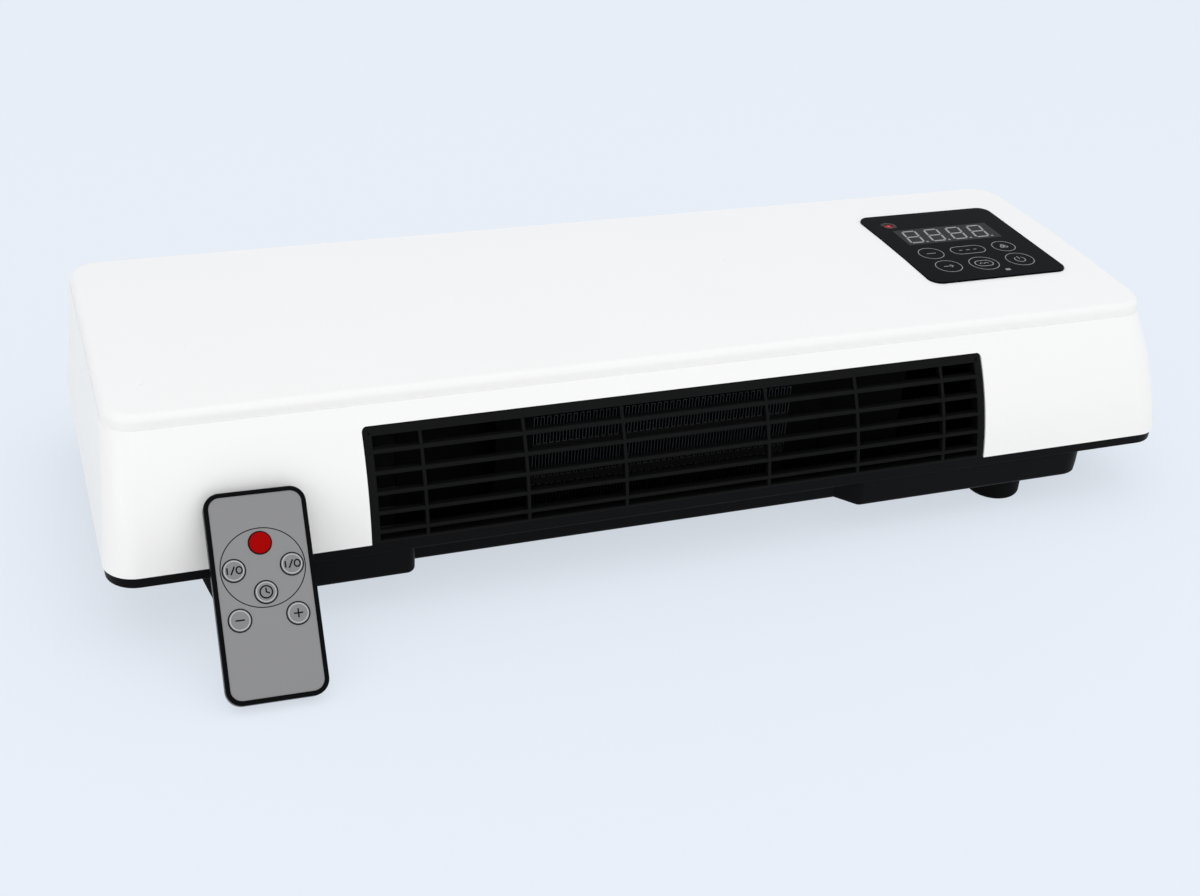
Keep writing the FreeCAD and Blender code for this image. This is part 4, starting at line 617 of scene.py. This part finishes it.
def line_tree():
    """A thin flat ribbon along every path of a drawing."""
    tree, source = start_tree("drawn_lines", ["Width", "Thickness", "Cuts"])
    get = source.outputs
    paths = add(tree, "GeometryNodeMeshToCurve", inputs={"Mesh": get["Geometry"]})
    finer = add(tree, "GeometryNodeSubdivideCurve",
                inputs={"Curve": paths.outputs["Curve"], "Cuts": get["Cuts"]})
    level = add(tree, "GeometryNodeSetCurveNormal", {"mode": "Z_UP"}, {"Curve": finer.outputs["Curve"]})
    profile = add(tree, "GeometryNodeCurvePrimitiveQuadrilateral", {"mode": "RECTANGLE"},
                  {"Width": get["Width"], "Height": get["Thickness"]})
    swept = add(tree, "GeometryNodeCurveToMesh",
                inputs={"Curve": level.outputs["Curve"], "Profile Curve": profile.outputs["Curve"],
                        "Fill Caps": True})
    end_tree(tree, source, swept.outputs["Mesh"])
    return tree


drawn_lines = line_tree()


def draw_lines(name, paths, width, place, material, body, lift=None):
    """Lay a flat drawing of print, painted shade or painted highlight on a surface. lift gives a curved
    surface's height at a point.
    """
    points = []
    edges = []
    for path in paths:
        closed = path[0] == path[-1]
        first = len(points)
        run = path[:-1] if closed else path
        points += [(x * MM, y * MM, 0) for x, y in run]
        edges += [(first + step, first + step + 1) for step in range(len(run) - 1)]
        if closed:
            edges.append((first + len(run) - 1, first))
    mesh = grow(name, seed_mesh(name + "_drawing", points, edges), drawn_lines,
                {"Width": width * MM, "Thickness": INK * MM, "Cuts": DOME_CUTS if lift else 0},
                material)
    lay_on(mesh, place, lift)
    show(name, mesh, body)


def lay_on(mesh, place, lift=None):
    """Lay a flat mesh on a surface and move it to its place."""
    for vertex in mesh.vertices:
        vertex.co.z += INK / 2 * MM
        if lift:
            vertex.co.z += lift(vertex.co.x / MM, vertex.co.y / MM) * MM
    mesh.transform(place)


# %% [markdown]
# ## Marks on the window
# Six touch keys are drawn as rings of a little over a centimetre, one of them a long pill. Small plain
# signs stand in them: a dash, bars, a fan, an arrow, a wave and the usual power sign. The display is a
# grey panel that shows through the smoked window, with four unlit seven-segment digits that lean to the
# right.

# %% Print the keys
RING_WIDTH = 0.4
GLOW_RADIUS = 2.9
GLOW_WIDTH = 2.5


def pill(centre, wide, tall):
    """A stadium outline."""
    reach = (wide - tall) / 2
    right = ellipse((centre[0] + reach, centre[1]), tall / 2, tall / 2, -90, 90, 16)
    left = ellipse((centre[0] - reach, centre[1]), tall / 2, tall / 2, 90, 270, 16)
    outline = right + left
    return outline + outline[:1]


key_rings = [
    ellipse((-22.2, -8.9), 6.5, 6.2),
    pill((-1.0, -8.7), 19.0, 8.6),
    ellipse((19.8, -8.6), 6.0, 5.8),
    ellipse((-21.1, -24.5), 6.7, 6.4),
    ellipse((-1.5, -25.1), 7.6, 7.2),
    ellipse((19.5, -24.5), 7.2, 7.0),
]
draw_lines("key_rings", key_rings, RING_WIDTH, window_place, ink_grey, "heater")
glow_middle = ((led_top.x - window_middle.x) / MM, (led_top.y - window_middle.y) / MM)
draw_lines("lamp_glow", [ellipse(glow_middle, GLOW_RADIUS, GLOW_RADIUS)], GLOW_WIDTH, window_place,
            window_glow, "heater")
print("rings", len(key_rings), "lamp at", [round(value, 1) for value in glow_middle])

# %% Print the key signs
SIGN_WIDTH = 0.5
FAN_MIDDLE = (19.8, -8.6)
FAN_REACH = 1.3
FAN_BLADE = 0.9
key_signs = [
    [(-24.8, -8.9), (-19.6, -8.9)],
    [(-6.0, -8.7), (-4.2, -8.7)],
    [(-2.0, -8.7), (0.0, -8.7)],
    [(2.2, -8.7), (4.0, -8.7)],
    [(-23.8, -24.5), (-18.6, -24.5)],
    [(-20.0, -23.2), (-18.4, -24.5), (-20.0, -25.8)],
    pill((-1.5, -25.1), 9.6, 6.0),
    [(-4.0, -25.6), (-2.8, -24.3), (-1.5, -25.6), (-0.2, -24.3), (1.0, -25.6)],
    ellipse((19.5, -24.7), 2.7, 2.7, 125, 415, 24),
    [(19.5, -24.4), (19.5, -21.2)],
]
for blade in range(3):
    middle = math.radians(90 + 120 * blade)
    tip = (FAN_MIDDLE[0] + FAN_REACH * math.cos(middle), FAN_MIDDLE[1] + FAN_REACH * math.sin(middle))
    key_signs.append(ellipse(tip, FAN_BLADE, FAN_BLADE, 0, 360, 16))
draw_lines("key_signs", key_signs, SIGN_WIDTH, window_place, ink_grey, "heater")
print("strokes in the signs", len(key_signs))

# %% [markdown]
# The panel behind the digits is a plain thin plate, because a grey that is only painted on the window
# would lose its sharp corners.

# %% Draw the display's panel
DISPLAY_MIDDLE = (-1.0, 11.5)
DISPLAY_WIDE = 54.0
DISPLAY_TALL = 18.0


def plate_mesh(name, corners, thickness, material):
    """A flat plate from its corners, with a little thickness."""
    mesh = bpy.data.meshes.new(name)
    shape = bmesh.new()
    face = shape.faces.new([shape.verts.new((x * MM, y * MM, -thickness / 2 * MM)) for x, y in corners])
    grown = bmesh.ops.extrude_face_region(shape, geom=[face])
    top = [item for item in grown["geom"] if isinstance(item, bmesh.types.BMVert)]
    bmesh.ops.translate(shape, verts=top, vec=(0, 0, thickness * MM))
    bmesh.ops.recalc_face_normals(shape, faces=shape.faces)
    shape.to_mesh(mesh)
    shape.free()
    mesh.materials.append(material)
    return mesh


panel_corners = [(DISPLAY_MIDDLE[0] + side * DISPLAY_WIDE / 2,
                  DISPLAY_MIDDLE[1] + level * DISPLAY_TALL / 2)
                 for side, level in ((-1, -1), (1, -1), (1, 1), (-1, 1))]
panel = plate_mesh("display_panel", panel_corners, INK, panel_grey)
lay_on(panel, window_place)
show("display_panel", panel, "heater")
print("panel faces", len(panel.polygons))

# %% [markdown]
# The digits are built from their seven strokes. A shear leans them to the right, as such displays are.

# %% Draw the digits
DIGIT_WIDE = 7.2
DIGIT_TALL = 13.4
DIGIT_PITCH = 12.6
DIGIT_SHIFT = 1.2
DOT_AWAY = 1.9
DOT_HALF = 0.6
STROKE = 1.1
LEAN = 0.12
GAP = 0.5
MARK_WIDTH = 1.9
half_x = DIGIT_WIDE / 2
digit_strokes = []
for digit in range(4):
    middle_x = DISPLAY_MIDDLE[0] + (digit - 1.5) * DIGIT_PITCH - DIGIT_SHIFT
    for level in (-1, 0, 1):
        y = level * DIGIT_TALL / 2
        begin = middle_x - half_x + GAP + LEAN * y
        end = middle_x + half_x - GAP + LEAN * y
        digit_strokes.append([(begin, y), (end, y)])
    for side in (-1, 1):
        for low, high in ((-DIGIT_TALL / 2 + GAP, -GAP), (GAP, DIGIT_TALL / 2 - GAP)):
            x = middle_x + side * half_x
            digit_strokes.append([(x + LEAN * low, low), (x + LEAN * high, high)])
    dot_x = middle_x + half_x + DOT_AWAY - LEAN * DIGIT_TALL / 2
    digit_strokes.append([(dot_x - DOT_HALF, -DIGIT_TALL / 2), (dot_x + DOT_HALF, -DIGIT_TALL / 2)])
raised = window_place @ Matrix.Translation((0, DISPLAY_MIDDLE[1] * MM, INK * MM))
draw_lines("display_digits", digit_strokes, STROKE, raised, segment_grey, "heater")
receiver_mark = [[(5.4, -34.2), (8.0, -34.2)]]
draw_lines("receiver_mark", receiver_mark, MARK_WIDTH, window_place, ink_grey, "heater")
print("digit strokes", len(digit_strokes))

# %% [markdown]
# ## Print and painted shade on the remote
# A thin dark ring runs round the four upper keys. Each key sits in a dark outline, a painted shadow of the
# narrow gap between the key and the face. The keys carry plain signs: on and off, a clock, less and more.
# They are printed on domes, so each sign is lifted by the height of the dome under it.

# %% Print on the remote's face, and paint the shade round the keys
GAP_SHADE_RADIUS = 4.55
FACE_RING_WIDE = 16.5
FACE_RING_TALL = 15.7
face_level = (span("remote_face", turned)[1].z - case_low.z) / MM
face_place = remote_place @ Matrix.Translation((0, 0, face_level * MM))
KEYS = ["button_red", "button_on", "button_off", "button_timer", "button_minus", "button_plus"]
key_places = {}
for key in KEYS:
    low, high = span(key, turned)
    middle = (low + high) / 2 - Vector(((case_low.x + case_high.x) / 2, case_low.y, 0))
    key_places[key] = (middle.x / MM, middle.y / MM)
    dome_top = (high.z - case_low.z) / MM
gap_shade_rings = [ellipse(spot, GAP_SHADE_RADIUS, GAP_SHADE_RADIUS) for spot in key_places.values()]
ring_middle = (0.0, (key_places["button_red"][1] + key_places["button_timer"][1]) / 2)
face_ring = ellipse(ring_middle, FACE_RING_WIDE, FACE_RING_TALL, 0, 360, 96)
# Dark rings round the keys: painted shadow of the narrow gap between each key and the face
draw_lines("painted_key_gap_shade", gap_shade_rings, RING_WIDTH, face_place, dark_ink_and_gap_shade, "remote")
draw_lines("face_ring", [face_ring], RING_WIDTH, face_place, dark_ink_and_gap_shade, "remote")
print("keys", {key: [round(value, 1) for value in spot] for key, spot in key_places.items()})

# %% [markdown]
# A key's top is a shallow dome, a cap of a large ball. Its radius follows from the key's radius and the rise
# of the dome, and it gives the height at which each point of a sign has to lie. A pale ring near the edge is
# a painted highlight, the light that a moulded rim would catch.

# %% Print the signs on the keys, and paint a highlight ring on each
KEY_RADIUS = 4.2
# Size of the painted highlight ring near each key's edge
HIGHLIGHT_RADIUS = 3.75
HIGHLIGHT_WIDTH = 0.36
KEY_SIGN_WIDTH = 0.6
DOME_RISE = 0.5
DOME_RADIUS = (KEY_RADIUS ** 2 + DOME_RISE ** 2) / (2 * DOME_RISE)


def dome_lift(x, y):
    """Height of a key's dome below its top, at a point from its middle."""
    return math.sqrt(DOME_RADIUS ** 2 - x * x - y * y) - DOME_RADIUS


def key_place(key):
    """The top of a key's dome."""
    x, y = key_places[key]
    return remote_place @ Matrix.Translation((x * MM, y * MM, dome_top * MM))


minus_sign = [[(-1.8, 0), (1.8, 0)]]
plus_sign = minus_sign + [[(0, -1.8), (0, 1.8)]]
clock_sign = [ellipse((0, 0), 2.4, 2.4, 0, 360, 32), [(0, 1.6), (0, 0), (1.3, -0.6)]]
power_sign = [[(-2.6, -1.3), (-2.6, 1.3)], [(-1.3, -1.6), (0.3, 1.6)],
              ellipse((2.0, 0), 1.15, 1.35, 0, 360, 32)]
KEY_SIGNS = {
    "button_minus": minus_sign,
    "button_plus": plus_sign,
    "button_timer": clock_sign,
    "button_on": power_sign,
    "button_off": power_sign,
}
highlight_ring = [ellipse((0, 0), HIGHLIGHT_RADIUS, HIGHLIGHT_RADIUS)]
for key, sign in KEY_SIGNS.items():
    top = key_place(key)
    body = key + "_body"
    draw_lines(key + "_sign", sign, KEY_SIGN_WIDTH, top, dark_ink_and_gap_shade, body, dome_lift)
    # A pale ring on each grey dome is a painted highlight where a moulded rim would catch light
    draw_lines(key + "_rim", highlight_ring, HIGHLIGHT_WIDTH, top, painted_highlight_grey, body, dome_lift)
print("signs", len(KEY_SIGNS))

# %% [markdown]
# ## Screw heads under the rim
# Four screws hold the cover from below. Their heads are the only fasteners that show, so each gets a
# bevelled head with a cross recess, cut by a boolean in the tree, and a plain shank.

# %% Tree for the screws
HEAD_RADIUS = 3.0
HEAD_TALL = 2.0
SHANK_RADIUS = 1.4
CROSS_DROP = 0.4
# Shares of the head's radius
HEAD_TAPER = 0.72
CROSS_LONG = 1.1
CROSS_WIDE = 0.24


def screw_tree():
    """A tapered head with a cross cut into it, and a shank above it, on every point."""
    tree, source = start_tree("case_screw_heads", ["Head", "Tall", "Shank", "Reach"])
    get = source.outputs
    head = add(tree, "GeometryNodeMeshCone",
               inputs={"Vertices": 32, "Radius Top": get["Head"], "Depth": get["Tall"]})
    lower = add(tree, "ShaderNodeMath", {"operation": "MULTIPLY"}, {0: get["Head"], 1: HEAD_TAPER})
    tree.links.new(lower.outputs[0], head.inputs["Radius Bottom"])
    bar_long = add(tree, "ShaderNodeMath", {"operation": "MULTIPLY"}, {0: get["Head"], 1: CROSS_LONG})
    bar_wide = add(tree, "ShaderNodeMath", {"operation": "MULTIPLY"}, {0: get["Head"], 1: CROSS_WIDE})
    first = add(tree, "ShaderNodeCombineXYZ",
                inputs={"X": bar_long.outputs[0], "Y": bar_wide.outputs[0], "Z": get["Tall"]})
    second = add(tree, "ShaderNodeCombineXYZ",
                 inputs={"X": bar_wide.outputs[0], "Y": bar_long.outputs[0], "Z": get["Tall"]})
    cross = add(tree, "GeometryNodeMeshBoolean", {"operation": "DIFFERENCE"},
                {"Mesh 1": head.outputs["Mesh"]})
    for size in (first, second):
        bar = add(tree, "GeometryNodeMeshCube", inputs={"Size": size.outputs["Vector"]})
        dropped = add(tree, "GeometryNodeTransform",
                      inputs={"Geometry": bar.outputs["Mesh"], "Translation": (0, 0, -CROSS_DROP * MM)})
        tree.links.new(dropped.outputs["Geometry"], cross.inputs["Mesh 2"])
    shank = add(tree, "GeometryNodeMeshCylinder",
                inputs={"Vertices": 24, "Radius": get["Shank"], "Depth": get["Reach"]})
    half = add(tree, "ShaderNodeMath", {"operation": "MULTIPLY"}, {0: get["Reach"], 1: 0.5})
    raise_by = add(tree, "ShaderNodeMath", {"operation": "ADD"}, {0: half.outputs[0], 1: get["Tall"]})
    lifted = add(tree, "ShaderNodeCombineXYZ", inputs={"Z": raise_by.outputs[0]})
    upper = add(tree, "GeometryNodeTransform",
                inputs={"Geometry": shank.outputs["Mesh"], "Translation": lifted.outputs["Vector"]})
    both = add(tree, "GeometryNodeJoinGeometry")
    tree.links.new(cross.outputs["Mesh"], both.inputs["Geometry"])
    tree.links.new(upper.outputs["Geometry"], both.inputs["Geometry"])
    screws = add(tree, "GeometryNodeInstanceOnPoints",
                 inputs={"Points": get["Geometry"], "Instance": both.outputs["Geometry"]})
    end_tree(tree, source, screws.outputs["Instances"])
    return tree


# %% Grow the screws
screw_low, screw_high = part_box("case_screws")
screw_spots = [(x, y, screw_low.z)
               for x in (screw_low.x + HEAD_RADIUS * MM, screw_high.x - HEAD_RADIUS * MM)
               for y in (screw_low.y + HEAD_RADIUS * MM, screw_high.y - HEAD_RADIUS * MM)]
screw_mesh = grow("case_screw_heads", seed_mesh("screw_seed", screw_spots), screw_tree(),
                  {"Head": HEAD_RADIUS * MM, "Tall": HEAD_TALL * MM, "Shank": SHANK_RADIUS * MM,
                   "Reach": screw_high.z - screw_low.z - HEAD_TALL * MM}, plated_steel)
show("case_screw_heads", screw_mesh, "heater", ["case_screws"])
print("screw faces", len(screw_mesh.polygons))

# %% [markdown]
# ## Floor, light and camera
# The photograph is bright and even, on a pale blue ground with hardly a shadow. The floor therefore
# gives a part of its colour as light of its own where it is seen, and only the rest takes the heater's
# shadow. It sends plain grey light back to the heater, so that the white stays neutral.

# %% Floor
PALE_BLUE = "#E9F0F9"
BOUNCED_GREY = "#F6F6F6"
OWN_LIGHT = 0.72
# Half the floor's side in metres, and its depth below the feet in millimetres
FLOOR_HALF = 6
FLOOR_DROP = 0.2
floor_corners = [(x * FLOOR_HALF, y * FLOOR_HALF, 0) for x, y in ((-1, -1), (1, -1), (1, 1), (-1, 1))]
floor_mesh = bpy.data.meshes.new("floor")
floor_mesh.from_pydata(floor_corners, [], [(0, 1, 2, 3)])
floor = bpy.data.objects.new("floor", floor_mesh)
floor.location.z = -FLOOR_DROP * MM
bpy.context.scene.collection.objects.link(floor)


def seen_rays(tree):
    """One where a ray shows the background to the eye, straight or in a reflection, and zero elsewhere."""
    rays = add(tree, "ShaderNodeLightPath").outputs
    seen = rays["Is Camera Ray"]
    for other in ("Is Glossy Ray", "Is Transmission Ray"):
        both = add(tree, "ShaderNodeMath", {"operation": "ADD", "use_clamp": True},
                   {0: seen, 1: rays[other]})
        seen = both.outputs[0]
    return seen


def ground(name, seen, bounced, own_light):
    """Ground with some light of its own where it is seen, which bounces plain light."""
    material, tree, shader = start_finish(name, bounced, roughness=0.9, specular=0.0)
    direct = seen_rays(tree)
    lit_part = tuple((1 - own_light) * channel for channel in linear(seen)[:3]) + (1.0,)
    tone = add(tree, "ShaderNodeMix", {"data_type": "RGBA"}, {0: direct, 6: linear(bounced), 7: lit_part})
    tree.links.new(tone.outputs[2], shader.inputs["Base Color"])
    glow = add(tree, "ShaderNodeMath", {"operation": "MULTIPLY"}, {0: direct, 1: own_light})
    shader.inputs["Emission Color"].default_value = linear(seen)
    tree.links.new(glow.outputs[0], shader.inputs["Emission Strength"])
    return material


floor_mesh.materials.append(ground("pale_blue_ground", PALE_BLUE, BOUNCED_GREY, OWN_LIGHT))
floor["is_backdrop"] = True
print("floor", 2 * FLOOR_HALF, "m wide")

# %% [markdown]
# A wide soft light above, and two weaker ones from the front and from the left, give the white cover its
# gentle steps. The world fills the rest with an even grey, and shows the pale blue only where it is
# seen.

# %% World and lights
SKY_LIGHT = 0.83
world = bpy.data.worlds.new("studio")
bpy.context.scene.world = world
world.use_nodes = True
sky = world.node_tree
sky_tone = add(sky, "ShaderNodeMix", {"data_type": "RGBA"},
               {0: seen_rays(sky), 6: (SKY_LIGHT, SKY_LIGHT, SKY_LIGHT, 1.0), 7: linear(PALE_BLUE)})
sky.links.new(sky_tone.outputs[2], sky.nodes["Background"].inputs["Color"])


def soft_light(name, place, aim, wide, tall, power):
    """A rectangular soft light that looks at a point."""
    lamp = bpy.data.lights.new(name, "AREA")
    lamp.shape = "RECTANGLE"
    lamp.size = wide
    lamp.size_y = tall
    lamp.energy = power
    holder = bpy.data.objects.new(name, lamp)
    holder.location = place
    holder.rotation_euler = (Vector(aim) - Vector(place)).to_track_quat("-Z", "Y").to_euler()
    bpy.context.scene.collection.objects.link(holder)


soft_light("top_softbox", (0.1, -0.4, 1.6), (0, 0, 0), wide=2.4, tall=1.8, power=5.5)
soft_light("front_softbox", (0.6, -1.9, 0.7), (0, 0, 0.05), wide=1.4, tall=1.0, power=2.6)
soft_light("left_softbox", (-1.9, -0.9, 0.7), (0, 0, 0.05), wide=1.4, tall=1.0, power=3)
print("lights", len(bpy.data.lights))

# %% [markdown]
# The camera looks down from the front left and is rolled a little. Its place, its turn and its focal
# length were worked out from the edges of the cover in the photograph. The focal length is in pixels of
# a picture 1200 pixels wide, and the sensor's width turns it to millimetres.

# %% Camera
AZIMUTH = math.radians(-22.16)
ELEVATION = math.radians(30.47)
ROLL = math.radians(4.22)
SENSOR = 36
FOCAL_PIXELS = 1690.1
PICTURE_WIDE = 1200
CAMERA_REACH = 0.923
back = Vector((math.sin(AZIMUTH) * math.cos(ELEVATION), -math.cos(AZIMUTH) * math.cos(ELEVATION),
               math.sin(ELEVATION)))
level_right = Vector((0, 0, 1)).cross(back).normalized()
level_up = back.cross(level_right)
view_right = math.cos(ROLL) * level_right + math.sin(ROLL) * level_up
view_up = back.cross(view_right)
lens = bpy.data.cameras.new("camera")
lens.sensor_fit = "HORIZONTAL"
lens.sensor_width = SENSOR
lens.lens = SENSOR * FOCAL_PIXELS / PICTURE_WIDE
lens.clip_start = 0.01
camera = bpy.data.objects.new("camera", lens)
bpy.context.scene.collection.objects.link(camera)
camera_aim = heater_point(23.0, 168.2, -39.9)
camera_spot = camera_aim + CAMERA_REACH * back
camera_turn = Matrix((view_right, view_up, back)).transposed()
camera.matrix_world = Matrix.Translation(camera_spot) @ camera_turn.to_4x4()
bpy.context.scene.camera = camera
bpy.context.scene.view_settings.view_transform = "Standard"
print("camera at", [round(value, 3) for value in camera_spot])

# %% [markdown]
# ## Measure the boxes
# The finished model has to fill the same box as the solids, so both boxes are measured and the growth
# between them is printed.

# %% Measure the boxes
sizes = {"cad": [list(corner) for corner in cad_box], "visual": [list(corner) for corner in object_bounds()]}
growth = [round((new - old) / MM, 2) for cad, seen in zip(sizes["cad"], sizes["visual"])
          for old, new in zip(cad, seen)]
print("growth in millimetres", growth)
